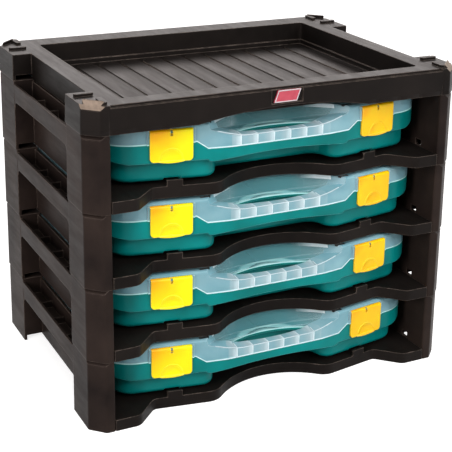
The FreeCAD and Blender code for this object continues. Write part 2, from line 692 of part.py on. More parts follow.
def hinge_bores():
    """Bores through the ears, and the gaps in the rim for the lid's barrels."""
    length = HINGE_BARREL_LENGTH + 2 * (HINGE_SIDE_GAP + HINGE_EAR) + 2 * OVER
    clear = HINGE_BARREL_LENGTH / 2 + HINGE_SIDE_GAP
    tools = []
    for middle in (-HINGE_OFFSET, HINGE_OFFSET):
        tools.append(rod(HINGE_PIN_RADIUS + PIN_CLEARANCE, length,
                         V(middle - length / 2, y_at(HINGE_BACK), HINGE_HEIGHT), V(1, 0, 0)))
        tools.append(box(middle - clear, middle + clear, y_at(CASE_BACK - CASE_WALL - 2 * OVER),
                         y_at(HINGE_BACK) + HINGE_EAR_RADIUS + OVER,
                         HINGE_HEIGHT - HINGE_BARREL_RADIUS - OVER, CASE_JOINT + OVER))
    return tools


def rounded_below(solid, low, radius):
    """Solid with its lower edges rounded."""
    edges = [e for e in solid.Edges if abs(e.BoundBox.ZMax - low) < 1e-4]
    return solid.makeFillet(radius, edges)


def inside_of_body(wall, top):
    """Space inside the base, a wall's thickness in from its outer faces."""
    low = CASE_BOTTOM + wall
    space = rounded_below(inset_prism(body_corners(), wall, low, top), low, BODY_BOTTOM_RADIUS - wall)
    channel = groove(wall)
    return space.cut(channel).cut(mirrored_x(channel))


def base_cutters():
    """What is cut from both parts of the base: the handle's step, hand hole, grooves and hinge gaps."""
    passage = groove(0.0)
    return [grip_step(0.0, GRIP_JOINT, CASE_JOINT + OVER), hand_hole(0.0), passage,
            mirrored_x(passage)] + hinge_bores()


def case_tub():
    """Body of the base: floor, walls, runners and the two channels over the stop tabs."""
    shell = rounded_below(prism(body_corners(), CASE_BOTTOM, CASE_JOINT), CASE_BOTTOM, BODY_BOTTOM_RADIUS)
    runner = box(RUNNER_MIDDLE - RUNNER_WIDTH / 2, RUNNER_MIDDLE + RUNNER_WIDTH / 2,
                 y_at(RUNNER_START), y_at(CASE_BACK - BODY_BACK_SET_BACK - CASE_REAR_RADIUS),
                 LIP_HEIGHT, CASE_BOTTOM + CASE_WALL / 2)
    tub = fuse_all([shell, runner, mirrored_x(runner)]).cut(inside_of_body(CASE_WALL, CASE_JOINT + OVER))
    for tool in base_cutters():
        tub = tub.cut(tool)
    return tub.removeSplitter()


def case_rim():
    """Rim round the base's body, of one moulding with it: apron, lower half of the handle, hinge ears."""
    rim = fuse_all([rim_skin(), grip_bar()] + hinge_ears())
    for tool in [prism(body_corners(), CASE_BOTTOM, CASE_JOINT + OVER), grip_arch()] + base_cutters():
        rim = rim.cut(tool)
    return rim.removeSplitter()


# ---------------------------------------------------------------- case: lid
def scoop(sink):
    """Volume above the dished surface round the hand hole and the handle's top, lower by sink."""
    start = V(0, y_at(CASE_FRONT), SCOOP_LOW - sink + SCOOP_RADIUS)
    direction = V(0, 1, SCOOP_SLOPE).normalize()
    dished = rod(SCOOP_RADIUS, SCOOP_LENGTH, start - direction * (SCOOP_LENGTH / 2), direction)
    below = box(-GRIP_HALF, GRIP_HALF, y_at(-SCOOP_LENGTH), y_at(GRIP_NOTCH_BACK), GRIP_LOW, GRIP_TOP - sink)
    return dished.cut(below)


def bowl(grow):
    """Recess in the lid's top and front that fingers reach into."""
    low = SCOOP_LOW - 2 * OVER
    high = CASE_TOP + OVER
    top = Part.makeCircle(BOWL_TOP_RADIUS + grow, V(0, y_at(BOWL_TOP_BACK - BOWL_TOP_RADIUS), high))
    bottom = Part.makeCircle(BOWL_LOW_RADIUS + grow, V(0, y_at(BOWL_LOW_BACK - BOWL_LOW_RADIUS), low))
    dish = Part.makeLoft([Part.Wire(bottom), Part.Wire(top)], True, True)
    return dish.common(scoop(grow))


def case_skin(inset, low, high, edge):
    """Solid of the lid's outer or inner form, with a rounded top edge."""
    solid = inset_prism(rim_corners(), inset, low, high) if inset > 0 else prism(rim_corners(), low, high)
    top_edges = [e for e in solid.Edges if abs(e.BoundBox.ZMin - high) < 1e-4]
    return solid.makeFillet(edge, top_edges)


def latch_seat():
    """Block behind the lid's face that holds a latch's pin."""
    half = LATCH_WIDTH / 2 + LATCH_SIDE_GAP + EAR
    depth = LATCH_PIN_IN + LATCH_BARREL_RADIUS + 2 * LATCH_GAP + LID_WALL
    return box(-half, half, LID_WALL / 2, depth, LATCH_TOP_PIVOT - LATCH_BARREL_RADIUS - 2 * LID_WALL,
               CASE_TOP - LID_WALL / 2)


def latch_pocket():
    """Space for a latch's barrel, open to the front."""
    half = LATCH_WIDTH / 2 + LATCH_SIDE_GAP
    reach = LATCH_BARREL_RADIUS + LATCH_GAP
    return box(-half, half, -LATCH_FACE - OVER, LATCH_PIN_IN + reach,
               LATCH_TOP_PIVOT - reach, LATCH_TOP_PIVOT + reach)


def latch_pin():
    """Moulded pin a latch turns on."""
    length = LATCH_WIDTH + 2 * (LATCH_SIDE_GAP + EAR)
    return rod(LATCH_PIN_RADIUS, length, V(-length / 2, LATCH_PIN_IN, LATCH_TOP_PIVOT), V(1, 0, 0))


def lid_hinge_barrels():
    """Barrels with pins, hung from the lid's back wall."""
    pieces = []
    pin = HINGE_BARREL_LENGTH + 2 * (HINGE_SIDE_GAP + HINGE_EAR)
    half = HINGE_BARREL_LENGTH / 2
    for middle in (-HINGE_OFFSET, HINGE_OFFSET):
        centre = y_at(HINGE_BACK)
        pieces.append(rod(HINGE_BARREL_RADIUS, 2 * half, V(middle - half, centre, HINGE_HEIGHT), V(1, 0, 0)))
        pieces.append(rod(HINGE_PIN_RADIUS, pin, V(middle - pin / 2, centre, HINGE_HEIGHT), V(1, 0, 0)))
        pieces.append(box(middle - half, middle + half, y_at(CASE_BACK - LID_WALL),
                          centre + HINGE_PIN_RADIUS, HINGE_HEIGHT, CASE_JOINT + 2 * LID_WALL))
    return pieces


def case_lid():
    """Frosted lid with its half of the handle."""
    outer = case_skin(0.0, CASE_JOINT, CASE_TOP, LID_EDGE_RADIUS)
    rim = rim_corners()
    front = box(-CASE_HALF, CASE_HALF, FRONT, y_at(GRIP_NOTCH_BACK - GRIP_STEP_GAP),
                GRIP_JOINT, CASE_JOINT + OVER)
    drop = prism(rim, GRIP_JOINT, CASE_JOINT + OVER).common(grip_step(0.0, GRIP_JOINT, CASE_JOINT + OVER))
    outer = outer.fuse(drop.common(front)).cut(bowl(0.0))
    inner = case_skin(LID_WALL, CASE_JOINT - OVER, CASE_TOP - LID_WALL, LID_EDGE_RADIUS - LID_WALL / 2)
    inner_drop = inset_prism(rim, LID_WALL, GRIP_JOINT - OVER, CASE_JOINT + OVER).common(
        grip_step(LID_WALL, GRIP_JOINT - OVER, CASE_JOINT + OVER))
    above = box(-CASE_HALF, CASE_HALF, FRONT, BACK, CASE_JOINT - OVER, CASE_TOP)
    hollow = inner.common(above).fuse(inner_drop).cut(bowl(LID_WALL)).cut(hand_hole(LID_WALL))
    lid = outer.cut(hollow)
    ribs = []
    for index in range(GRIP_RIB_COUNT):
        x = (index - (GRIP_RIB_COUNT - 1) / 2) * GRIP_RIB_SPACING
        blade = box(x - GRIP_RIB / 2, x + GRIP_RIB / 2, FRONT, y_at(GRIP_NOTCH_BACK), GRIP_JOINT, CASE_JOINT)
        ribs.append(blade.common(outer))
    seats = [piece.common(outer) for piece in at_both_latches(latch_seat())]
    lid = fuse_all([lid] + ribs + seats + lid_hinge_barrels())
    ear_start = LATCH_WIDTH / 2 + LATCH_SIDE_GAP
    ears = [box(start, start + EAR, -EAR_FACE, LID_WALL, CASE_JOINT, CASE_TOP - LID_EDGE_RADIUS)
            for start in (-ear_start - EAR, ear_start)]
    lid = fuse_all([lid] + [piece for ear in ears for piece in at_both_latches(ear)])
    for tool in at_both_latches(latch_pocket()) + [hand_hole(0.0)]:
        lid = lid.cut(tool)
    for side in (-1, 1):
        x = side * PILL_OFFSET
        y = y_at(PILL_DEPTH_IN)
        half = PILL_LENGTH / 2
        end = PILL_WIDTH / 2
        pill = prism([(x - half, y - end, end - 0.01), (x + half, y - end, end - 0.01),
                      (x + half, y + end, end - 0.01), (x - half, y + end, end - 0.01)],
                     CASE_TOP - PILL_SINK, CASE_TOP + OVER)
        lid = lid.cut(pill)
    return fuse_all([lid] + at_both_latches(latch_pin()))


# ---------------------------------------------------------------- case: latches and dividers
def latch():
    """Latch in its own frame: barrel above, plate below, snap bead behind."""
    half = LATCH_WIDTH / 2
    plate = box(-half, half, -LATCH_FACE, -LATCH_GAP, LATCH_LOW, LATCH_TOP_PIVOT)
    lower_edges = [e for e in plate.Edges if abs(e.BoundBox.ZMax - LATCH_LOW) < 1e-4
                   and e.BoundBox.XLength < 1e-4]
    plate = plate.makeFillet(LATCH_CORNER_RADIUS, lower_edges)
    barrel = rod(LATCH_BARREL_RADIUS, LATCH_WIDTH, V(-half, LATCH_PIN_IN, LATCH_TOP_PIVOT), V(1, 0, 0))
    bulge = (LATCH_LIP_HALF ** 2 + LATCH_LIP_DROP ** 2) / (2 * LATCH_LIP_DROP)
    lip = rod(bulge, LATCH_FACE + LATCH_LIP_REACH - LATCH_GAP,
              V(0, -LATCH_FACE - LATCH_LIP_REACH, LATCH_LOW - LATCH_LIP_DROP + bulge), V(0, 1, 0))
    lip = lip.common(box(-LATCH_LIP_HALF, LATCH_LIP_HALF, -2 * LATCH_FACE, 0, LATCH_LOW - 2 * LATCH_LIP_DROP,
                         LATCH_LOW + LATCH_LIP_HEIGHT - LATCH_LIP_DROP))
    bead = box(-BEAD_HALF, BEAD_HALF, -LATCH_GAP - OVER / 2, -BEAD_GAP, BEAD_LOW, BEAD_LOW + BEAD_HEIGHT)
    body = fuse_all([plate, barrel, bead])
    bore = rod(LATCH_PIN_RADIUS + PIN_CLEARANCE, LATCH_WIDTH + 2 * OVER,
               V(-half - OVER, LATCH_PIN_IN, LATCH_TOP_PIVOT), V(1, 0, 0))
    top = LATCH_TOP_PIVOT + LATCH_BARREL_RADIUS
    slot = box(-LATCH_SLOT_WIDTH / 2, LATCH_SLOT_WIDTH / 2, -LATCH_FACE - OVER, -LATCH_GAP + OVER / 2,
               top - LATCH_SLOT_HEIGHT, top + OVER)
    thumb = Part.makeSphere(THUMB_RADIUS,
                            V(0, -LATCH_FACE - THUMB_RADIUS + THUMB_SINK, LATCH_LOW + THUMB_HEIGHT))
    return body.cut(thumb).fuse(lip).cut(bore).cut(slot).removeSplitter()


def divider_set():
    """Loose dividers of one case: two long plates, and three short ones that hook on the front one."""
    low = CASE_BOTTOM + CASE_WALL
    slot_low = DIVIDER_TOP - DIVIDER_SLOT_DEPTH
    space = inside_of_body(CASE_WALL + DIVIDER_END_GAP, DIVIDER_TOP)
    half = DIVIDER / 2
    gap = DIVIDER_SLOT_GAP
    pieces = []
    for depth in LONG_DIVIDERS:
        plate = box(-CASE_HALF, CASE_HALF, y_at(depth) - half, y_at(depth) + half, low, DIVIDER_TOP)
        for x in SHORT_DIVIDERS:
            if depth == LONG_DIVIDERS[0]:
                plate = plate.cut(box(x - half - gap, x + half + gap, y_at(depth) - DIVIDER,
                                      y_at(depth) + DIVIDER, slot_low, DIVIDER_TOP + OVER))
        pieces.append(plate.common(space))
    wall = y_at(LONG_DIVIDERS[0])
    for x in SHORT_DIVIDERS:
        plate = box(x - half, x + half, FRONT, wall - half - DIVIDER_END_GAP, low, DIVIDER_TOP)
        hook = box(x - half, x + half, wall - half - DIVIDER_END_GAP - OVER, wall + half + OVER,
                   slot_low + gap, DIVIDER_TOP)
        pieces.append(plate.common(space).fuse(hook).removeSplitter())
    return Part.makeCompound(pieces)


# ---------------------------------------------------------------- build
def main():
    os.makedirs("parts", exist_ok=True)
    frame = left_frame()
    other_frame = mirrored_x(frame)
    own_shelf = shelf()
    own_back = back_wall()
    tub = case_tub()
    rim = case_rim()
    lid = case_lid()
    own_latch = latch()
    dividers = divider_set()
    for index in range(LEVEL_COUNT):
        height = index * LEVEL_PITCH
        number = str(index + 1)
        write(moved(frame, z=height), "side_frame_left_" + number)
        write(moved(other_frame, z=height), "side_frame_right_" + number)
        write(moved(own_shelf, z=height), "shelf_" + number)
        write(moved(own_back, z=height), "back_wall_" + number)
        write(moved(tub, z=height), "case_tub_" + number)
        write(moved(rim, z=height), "case_rim_" + number)
        write(moved(lid, z=height), "case_lid_" + number)
        write(moved(latch_place(own_latch, -1), z=height), "latch_left_" + number)
        write(moved(latch_place(own_latch, 1), z=height), "latch_right_" + number)
        write(moved(dividers, z=height), "dividers_" + number)
    write(moved(top_tray(), z=TRAY_SEAM), "top_tray")
    write(moved(badge_plate(), z=TRAY_SEAM), "badge_plate")


main()
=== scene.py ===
# %% [markdown]
# # A hobby workstation organizer, dressed in Blender
# The real object is a stack of four moulded rack levels under an open tray. Each level holds a
# carrying case: a teal tub and rim, a frosted lid with a bow handle, and two yellow latches.
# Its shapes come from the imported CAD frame. This lesson gives every moulding its plastic, adds the
# small moulded forms that only a close look shows, and sets up a plain studio.

# %% Load the frame
import bpy
import bmesh
import math
from mathutils import Matrix, Vector


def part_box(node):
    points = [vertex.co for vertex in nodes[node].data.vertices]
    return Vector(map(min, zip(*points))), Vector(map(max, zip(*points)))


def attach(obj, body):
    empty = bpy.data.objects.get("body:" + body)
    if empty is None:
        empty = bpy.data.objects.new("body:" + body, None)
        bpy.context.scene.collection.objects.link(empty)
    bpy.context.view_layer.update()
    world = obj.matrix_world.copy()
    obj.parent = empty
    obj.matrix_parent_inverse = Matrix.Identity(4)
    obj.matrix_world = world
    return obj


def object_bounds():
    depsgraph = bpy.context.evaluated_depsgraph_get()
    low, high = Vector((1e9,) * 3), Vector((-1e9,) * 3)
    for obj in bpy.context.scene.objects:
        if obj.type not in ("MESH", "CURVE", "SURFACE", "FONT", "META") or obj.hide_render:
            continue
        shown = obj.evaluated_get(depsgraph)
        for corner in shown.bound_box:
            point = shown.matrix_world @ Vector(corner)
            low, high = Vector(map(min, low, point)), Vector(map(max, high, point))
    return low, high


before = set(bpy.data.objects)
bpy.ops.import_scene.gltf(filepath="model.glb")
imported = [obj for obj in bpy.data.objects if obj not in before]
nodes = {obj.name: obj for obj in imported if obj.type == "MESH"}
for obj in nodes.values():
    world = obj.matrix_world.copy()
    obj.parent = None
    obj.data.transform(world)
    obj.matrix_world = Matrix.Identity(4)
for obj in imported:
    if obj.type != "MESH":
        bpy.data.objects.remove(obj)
MM = 0.001
cad_box = [list(corner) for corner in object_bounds()]
print("nodes:", len(nodes), "CAD box:", cad_box)


# %% [markdown]
# ## Sizes that the frame already holds
# The finishes and the trim have to meet the CAD parts, so what the parts can tell is measured from
# them instead of typed again. The levels are alike, so a height is given on the lowest one and
# repeats from there.

# %% Sizes from the frame
LEVELS = 4
lid_low, lid_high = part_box("case_lid_1")
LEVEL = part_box("case_lid_2")[0][2] - lid_low[2]     # from one level to the next
HANDLE_JOINT = lid_low[2]                           # lower edge of the lid along the handle
LID_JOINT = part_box("case_rim_1")[1][2]              # and beside the handle
HANDLE_FACE = lid_low[1]                            # y of the handle's front
CASE_HALF = lid_high[0]                             # from the middle to a case's side
RACK_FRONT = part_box("top_tray")[0][1]
print("level:", round(LEVEL / MM, 2), "mm high, case:", round(2 * CASE_HALF / MM, 1), "mm wide")


# %% [markdown]
# ## Two helpers for materials
# Colours are easiest to judge as the hex values a screen shows, but a shader works in linear light.
# One function turns the first into the second. The other adds a node, sets its inputs and joins it
# to what feeds it, so that a material reads as a short list of steps. What feeds an input is either
# one output of a node, or the node itself, which stands for its first output.

# %% Colour and node helpers
UNDER, OVER, MIXED = 6, 7, 2    # a Mix node's two colour inputs and its colour output


def hex_linear(code):
    """An sRGB hex colour as linear red, green, blue and a full alpha."""
    values = [int(code[i:i + 2], 16) / 255 for i in (1, 3, 5)]
    return [v / 12.92 if v <= 0.04045 else ((v + 0.055) / 1.055) ** 2.4 for v in values] + [1.0]


def add(tree, kind, settings=None, feeds=None):
    """A shader node with its own settings, a ramp's tones, fixed inputs and links."""
    node = tree.nodes.new(kind)
    for name, value in (settings or {}).items():
        if name == "tones":
            for stop, (position, code) in zip(node.color_ramp.elements, value):
                stop.position = position
                stop.color = hex_linear(code)
        elif isinstance(name, str) and hasattr(node, name):
            setattr(node, name, value)
        else:
            node.inputs[name].default_value = value
    for name, source in (feeds or {}).items():
        output = source.outputs[0] if isinstance(source, bpy.types.Node) else source
        tree.links.new(output, node.inputs[name])
    return node


def new_material(name):
    """An empty node material and its tree."""
    material = bpy.data.materials.new(name)
    material.use_nodes = True
    material.node_tree.nodes.clear()
    return material, material.node_tree


# %% [markdown]
# ## Masks: finding places on a part
# A moulding's finish, and the light and shade painted on it, change where its form does: on a joint
# line, in a hollow, along an edge. A mask is a number from zero to one that finds such a place. Most
# come from coordinates, which are the same for every part because all of them sit in one frame. Edges
# come from the bevel node: it gives the normal that a rounded edge would have, and where that
# differs from the flat one, there is an edge. A painted texture could hold the same marks, but each
# part would need a flat layout.

# %% Mask helpers
def joined(tree, operation, *masks):
    """Several masks as one, joined two at a time."""
    result = masks[0]
    for mask in masks[1:]:
        result = add(tree, "ShaderNodeMath", {"operation": operation}, {0: result, 1: mask})
    return result


def zone(tree, *limits):
    """A mask of where each value lies between its low and high limit, and None is no limit."""
    tests = [add(tree, "ShaderNodeMath", {"operation": operation, 1: limit}, {0: value})
             for value, low, high in limits
             for operation, limit in (("GREATER_THAN", low), ("LESS_THAN", high))
             if limit is not None]
    return joined(tree, "MULTIPLY", *tests)


def distance(tree, value, middle=0.0):
    """How far a coordinate is from a middle, to either side."""
    offset = add(tree, "ShaderNodeMath", {"operation": "SUBTRACT", 1: middle}, {0: value})
    return add(tree, "ShaderNodeMath", {"operation": "ABSOLUTE"}, {0: offset})


def through_cell(tree, value, start, pitch):
    """How far a place is through its cell in a row of equal cells, from zero to one."""
    along = add(tree, "ShaderNodeMath", {"operation": "SUBTRACT", 1: start}, {0: value})
    cells = add(tree, "ShaderNodeMath", {"operation": "DIVIDE", 1: pitch}, {0: along})
    return add(tree, "ShaderNodeMath", {"operation": "FRACT"}, {0: cells})


def rounded_edges(tree, radius, flat_side, sharp_side, most):
    """The normal of edges rounded to a radius, and a mask that rises to its most on them."""
    rounded = add(tree, "ShaderNodeBevel", {"samples": 6, "Radius": radius})
    flat = add(tree, "ShaderNodeNewGeometry").outputs["Normal"]
    likeness = add(tree, "ShaderNodeVectorMath", {"operation": "DOT_PRODUCT"}, {0: rounded, 1: flat})
    edge = add(tree, "ShaderNodeMapRange", {"From Min": flat_side, "From Max": sharp_side, "To Max": most},
               {"Value": likeness.outputs["Value"]})
    return rounded, edge


# %% [markdown]
# ## Rack: brown-black polypropylene, injection moulded
# Recycled black polypropylene is never quite black: it has a warm brown cast, paler streaks where it
# flowed, and a spark-eroded grain that scatters light into a soft sheen. The edges of thick
# mouldings are a little rounded and polished by handling, and the thin pale line on them is partly
# that wear and partly a painted highlight. The corner cuts at the top of the posts get a painted tan
# highlight, palest of all. The side frames are the brownest, while the shelves, back walls and tray
# are darker copies with painted shade, nearly black; the tray has the most sheen, so one function
# makes three plastics. The tray's floor strips are slightly crowned, which a bump shows along each
# strip.

# %% Crowned strips of the tray's floor
STRIP_START = -160.8 * MM       # left edge of the first floor strip
STRIP_PITCH = 27.13 * MM
STRIP_WIDTH = 23.13 * MM
FLOOR_UPPER = 322.5 * MM        # just above the tray's floor
CROWN_DEPTH = 6.0 * MM          # a quarter of it shows, at the middle of a strip


def crowned_strips(tree, axes, normal):
    """Normal of crowned strips on the tray's floor, unchanged elsewhere."""
    part = through_cell(tree, axes["X"], STRIP_START, STRIP_PITCH)
    share = {"operation": "MULTIPLY", 1: STRIP_PITCH / STRIP_WIDTH, "use_clamp": True}
    across = add(tree, "ShaderNodeMath", share, {0: part})
    rest = add(tree, "ShaderNodeMath", {"operation": "SUBTRACT", 0: 1.0}, {1: across})
    height = joined(tree, "MULTIPLY", across, rest, zone(tree, (axes["Z"], None, FLOOR_UPPER)))
    return add(tree, "ShaderNodeBump", {"Strength": 1.0, "Distance": CROWN_DEPTH},
               {"Height": height, "Normal": normal})


print("floor strips every", round(STRIP_PITCH / MM, 2), "mm")


# %% Cut corners of the posts
TOP_OF_POSTS = 341.0 * MM       # the corners are cut off above this height
CUT_TILT = (0.5, 0.8)           # how much of a cut's normal points up


def corner_cut_highlight(tree, axes):
    """Mask of the slanted cuts at the top of the corner posts, which get a painted highlight."""
    flat = add(tree, "ShaderNodeNewGeometry").outputs["Normal"]
    face_up = add(tree, "ShaderNodeSeparateXYZ", None, {"Vector": flat}).outputs["Z"]
    return zone(tree, (face_up, *CUT_TILT), (axes["Z"], TOP_OF_POSTS, None))


print("corners are cut above", round(TOP_OF_POSTS / MM), "mm")


# %% Rack plastic
FLOW_CLOUD = 70 * MM            # the paler streaks of the flow
SCUFF_WIDTH = 9 * MM
SCUFF_SLOWNESS = 0.12           # how fast scuffs change from front to back, against across
RACK_GRAIN = 1.1 * MM           # real grain is near 0.1 mm, and is drawn as coarse as it needs to show
RACK_EDGE = 1.3 * MM


def moulded_rack_plastic(name, deep, pale, specular, strips=False):
    """Satin polypropylene between two tones, paler on worn edges and corner cuts."""
    material, tree = new_material(name)
    place = add(tree, "ShaderNodeTexCoord").outputs["Object"]
    axes = add(tree, "ShaderNodeSeparateXYZ", None, {"Vector": place}).outputs
    cloud = add(tree, "ShaderNodeTexNoise", {"Scale": 1 / FLOW_CLOUD, "Detail": 4.0, "Roughness": 0.6},
                {"Vector": place})
    stretched = add(tree, "ShaderNodeMapping", {"Scale": (1.0, SCUFF_SLOWNESS, 1.0)}, {"Vector": place})
    scuffs = add(tree, "ShaderNodeTexNoise", {"Scale": 1 / SCUFF_WIDTH, "Detail": 6.0, "Roughness": 0.7},
                 {"Vector": stretched})
    grain = add(tree, "ShaderNodeTexNoise", {"Scale": 1 / RACK_GRAIN, "Detail": 3.0}, {"Vector": place})
    tone = add(tree, "ShaderNodeValToRGB", {"tones": ((0.3, deep), (0.75, pale))}, {"Fac": cloud})
    rounded, edge = rounded_edges(tree, RACK_EDGE, flat_side=0.995, sharp_side=0.8, most=0.9)
    handled = add(tree, "ShaderNodeMapRange", {"From Min": 0.42, "From Max": 0.62, "To Min": 0.25},
                  {"Value": scuffs})
    # Painted highlight and wear: a pale line on the edges, broken up by the scuffs.
    worn_and_highlit_edge = add(tree, "ShaderNodeMix", {"data_type": "RGBA", OVER: hex_linear("#7d7067")},
               {0: joined(tree, "MULTIPLY", edge, handled), UNDER: tone})
    strength = add(tree, "ShaderNodeMapRange", {"From Min": 0.35, "From Max": 0.6, "To Min": 0.6},
                   {"Value": scuffs})
    # Painted highlight: a tan on the slanted corner cuts, stronger where the scuffs are.
    tan_cut_highlight = add(tree, "ShaderNodeMix", {"data_type": "RGBA", OVER: hex_linear("#978678")},
                  {0: joined(tree, "MULTIPLY", corner_cut_highlight(tree, axes), strength),
                   UNDER: worn_and_highlit_edge.outputs[MIXED]})
    dull = {"From Min": 0.3, "From Max": 0.7, "To Min": 0.38, "To Max": 0.54}
    roughness = add(tree, "ShaderNodeMapRange", dull, {"Value": scuffs})
    normal = crowned_strips(tree, axes, rounded) if strips else rounded
    bump = add(tree, "ShaderNodeBump", {"Strength": 0.35, "Distance": 0.12 * MM},
               {"Height": grain, "Normal": normal})
    body = add(tree, "ShaderNodeBsdfPrincipled",
               {"IOR": 1.49, "Specular IOR Level": specular, "Specular Tint": (1.0, 0.86, 0.82, 1.0)},
               {"Base Color": tan_cut_highlight.outputs[MIXED], "Roughness": roughness, "Normal": bump})
    add(tree, "ShaderNodeOutputMaterial", None, {"Surface": body})
    return material


frame_plastic = moulded_rack_plastic("polypropylene_moulded_brown_black", "#1b1615", "#332a26", 0.05)
# The shelves, back walls and tray are darker copies of the same plastic, with painted shade.
shelf_plastic_painted_shade = moulded_rack_plastic("polypropylene_moulded_black_painted_shade", "#0f0d0c", "#1e1a18", 0.07)
tray_plastic_painted_shade = moulded_rack_plastic("polypropylene_moulded_tray_painted_shade", "#0e0c0b", "#1c1816", 0.085, strips=True)
print("made", frame_plastic.name, shelf_plastic_painted_shade.name, tray_plastic_painted_shade.name)


# %% [markdown]
# ## Cases: teal polypropylene with a satin face
# The tub and the rim are one moulding in a saturated blue-green. The face is smoother than the
# rack's, so lights are softer spots on it. Where the wall is thin at an edge, light gets through,
# and that light is painted as a paler line along the edge, which the edge mask finds.

# %% Case plastic
CASE_CLOUD = 60 * MM
CASE_GRAIN = 0.9 * MM           # drawn coarser than the real grain, so that it shows
CASE_EDGE = 0.8 * MM


def moulded_case_plastic():
    """Satin teal polypropylene, with light through thin edges painted as a pale line."""
    material, tree = new_material("polypropylene_satin_teal")
    place = add(tree, "ShaderNodeTexCoord").outputs["Object"]
    cloud = add(tree, "ShaderNodeTexNoise", {"Scale": 1 / CASE_CLOUD, "Detail": 3.0}, {"Vector": place})
    grain = add(tree, "ShaderNodeTexNoise", {"Scale": 1 / CASE_GRAIN, "Detail": 2.0}, {"Vector": place})
    tone = add(tree, "ShaderNodeValToRGB", {"tones": ((0.3, "#006c69"), (0.7, "#008684"))}, {"Fac": cloud})
    rounded, edge = rounded_edges(tree, CASE_EDGE, flat_side=0.99, sharp_side=0.82, most=0.75)
    # Painted light: a paler teal along the edges, for light coming through them.
    pale = add(tree, "ShaderNodeMix", {"data_type": "RGBA", OVER: hex_linear("#7fd6d4")},
               {0: edge, UNDER: tone})
    bump = add(tree, "ShaderNodeBump", {"Strength": 0.2, "Distance": 0.08 * MM},
               {"Height": grain, "Normal": rounded})
    roughness = add(tree, "ShaderNodeMapRange", {"To Min": 0.3, "To Max": 0.4}, {"Value": cloud})
    body = add(tree, "ShaderNodeBsdfPrincipled", {"IOR": 1.49, "Specular IOR Level": 0.14},
               {"Base Color": pale.outputs[MIXED], "Roughness": roughness, "Normal": bump})
    add(tree, "ShaderNodeOutputMaterial", None, {"Surface": body})
    return material


case_plastic = moulded_case_plastic()
print("made", case_plastic.name)


# %% [markdown]
# ## Places on the lid
# Five places of the lid differ from the rest, and each is found from where it is on its level. A pale
# painted highlight runs along the lid's lower edge, and drops to the handle's own joint at the front.
# The cells between the handle's ribs whiten towards one rib. The bowl behind the handle is thinner
# and smoother, with painted highlights at its ends, and a painted glint runs along its upper edge
# towards its ends. The two pill-shaped dimples on top are painted dark as shade.

# %% Coordinates on a lid
BOWL_CENTRE = -209.0 * MM       # y of the point that the bowl is round about
BOWL_RADIUS = 108.6 * MM


def lid_coordinates(tree, place):
    """What finds a place on any lid: its plain x and y, and three distances."""
    axes = add(tree, "ShaderNodeSeparateXYZ", None, {"Vector": place}).outputs
    from_middle = distance(tree, axes["X"])
    above_seam = add(tree, "ShaderNodeMath", {"operation": "FLOORED_MODULO", 1: LEVEL}, {0: axes["Z"]})
    behind_centre = add(tree, "ShaderNodeMath", {"operation": "SUBTRACT", 1: BOWL_CENTRE}, {0: axes["Y"]})
    squares = [joined(tree, "MULTIPLY", value, value) for value in (axes["X"], behind_centre)]
    from_bowl = add(tree, "ShaderNodeMath", {"operation": "SQRT"}, {0: joined(tree, "ADD", *squares)})
    return axes["X"], axes["Y"], from_middle, above_seam, from_bowl


print("bowl: radius", round(BOWL_RADIUS / MM, 1), "mm")


# %% The painted highlight line and the ribbed cells
HANDLE_HALF = 82.0 * MM         # the joint rises from the handle's to the lid's beyond this
HANDLE_RAMP = 11.5 * MM
HANDLE_BACK = -128.0 * MM       # y of the handle's back
JOINT_HIGHLIGHT_HEIGHT = (1.7 * MM, 0.9 * MM)      # above the joint, where the pale line starts and is full
RIBS = 6
RIB_SPACING = 19.0 * MM
CELLS_HALF = 3.02 * RIB_SPACING         # just short of the ends of the handle's straight front
CELLS_TOP = 63.0 * MM


def joint_highlight_line(tree, y, from_middle, above_seam):
    """Mask of the painted highlight line along the lid's lower edge."""
    slope = {"From Min": HANDLE_HALF, "From Max": HANDLE_HALF + HANDLE_RAMP,
             "To Min": HANDLE_JOINT, "To Max": LID_JOINT}
    in_front = add(tree, "ShaderNodeMapRange", slope, {"Value": from_middle})
    behind = add(tree, "ShaderNodeMath", {"operation": "MULTIPLY", 1: LID_JOINT},
                 {0: zone(tree, (y, HANDLE_BACK, None))})
    joint = joined(tree, "MAXIMUM", in_front, behind)
    return add(tree, "ShaderNodeMapRange", {"From Min": JOINT_HIGHLIGHT_HEIGHT[0], "From Max": JOINT_HIGHLIGHT_HEIGHT[1]},
               {"Value": joined(tree, "SUBTRACT", above_seam, joint)})


def ribbed_cells(tree, x, y, from_middle, above_seam):
    """Mask of the cells between the ribs, each one milky towards its right rib."""
    part = through_cell(tree, x, -RIB_SPACING / 2, RIB_SPACING)
    rise = {"From Min": 0.35, "From Max": 1.0, "To Min": 0.12, "To Max": 0.8}
    milky = add(tree, "ShaderNodeMapRange", rise, {"Value": part})
    grip = zone(tree, (y, None, HANDLE_BACK), (from_middle, None, CELLS_HALF), (above_seam, None, CELLS_TOP))
    return joined(tree, "MULTIPLY", grip, milky)


print("cells between", RIBS, "ribs,", round(RIB_SPACING / MM, 1), "mm apart")


# %% The bowl and the dimples
BOWL_TOP = 75.6 * MM            # just under the lid's top face
HIGHLIGHT_ENDS = (30 * MM, 80 * MM)         # a painted highlight grows on the bowl between these distances from the middle
GLINT_ENDS = (34 * MM, 56 * MM)         # and a painted glint along its edge grows between these
GLINT_BAND = (BOWL_RADIUS - 3.4 * MM, BOWL_RADIUS + 0.8 * MM)
GLINT_FROM = 72 * MM            # the painted glint keeps above this height
GLINT_HALF = 70 * MM            # and this near the middle
DIMPLE_AT = 82.0 * MM
DIMPLE_Y = -134.5 * MM
DIMPLE_HALF_LENGTH = 6.0 * MM
DIMPLE_HALF_WIDTH = 2.2 * MM
DIMPLE_FLOOR = 74.5 * MM        # the dimples are on the handle's top, above this height


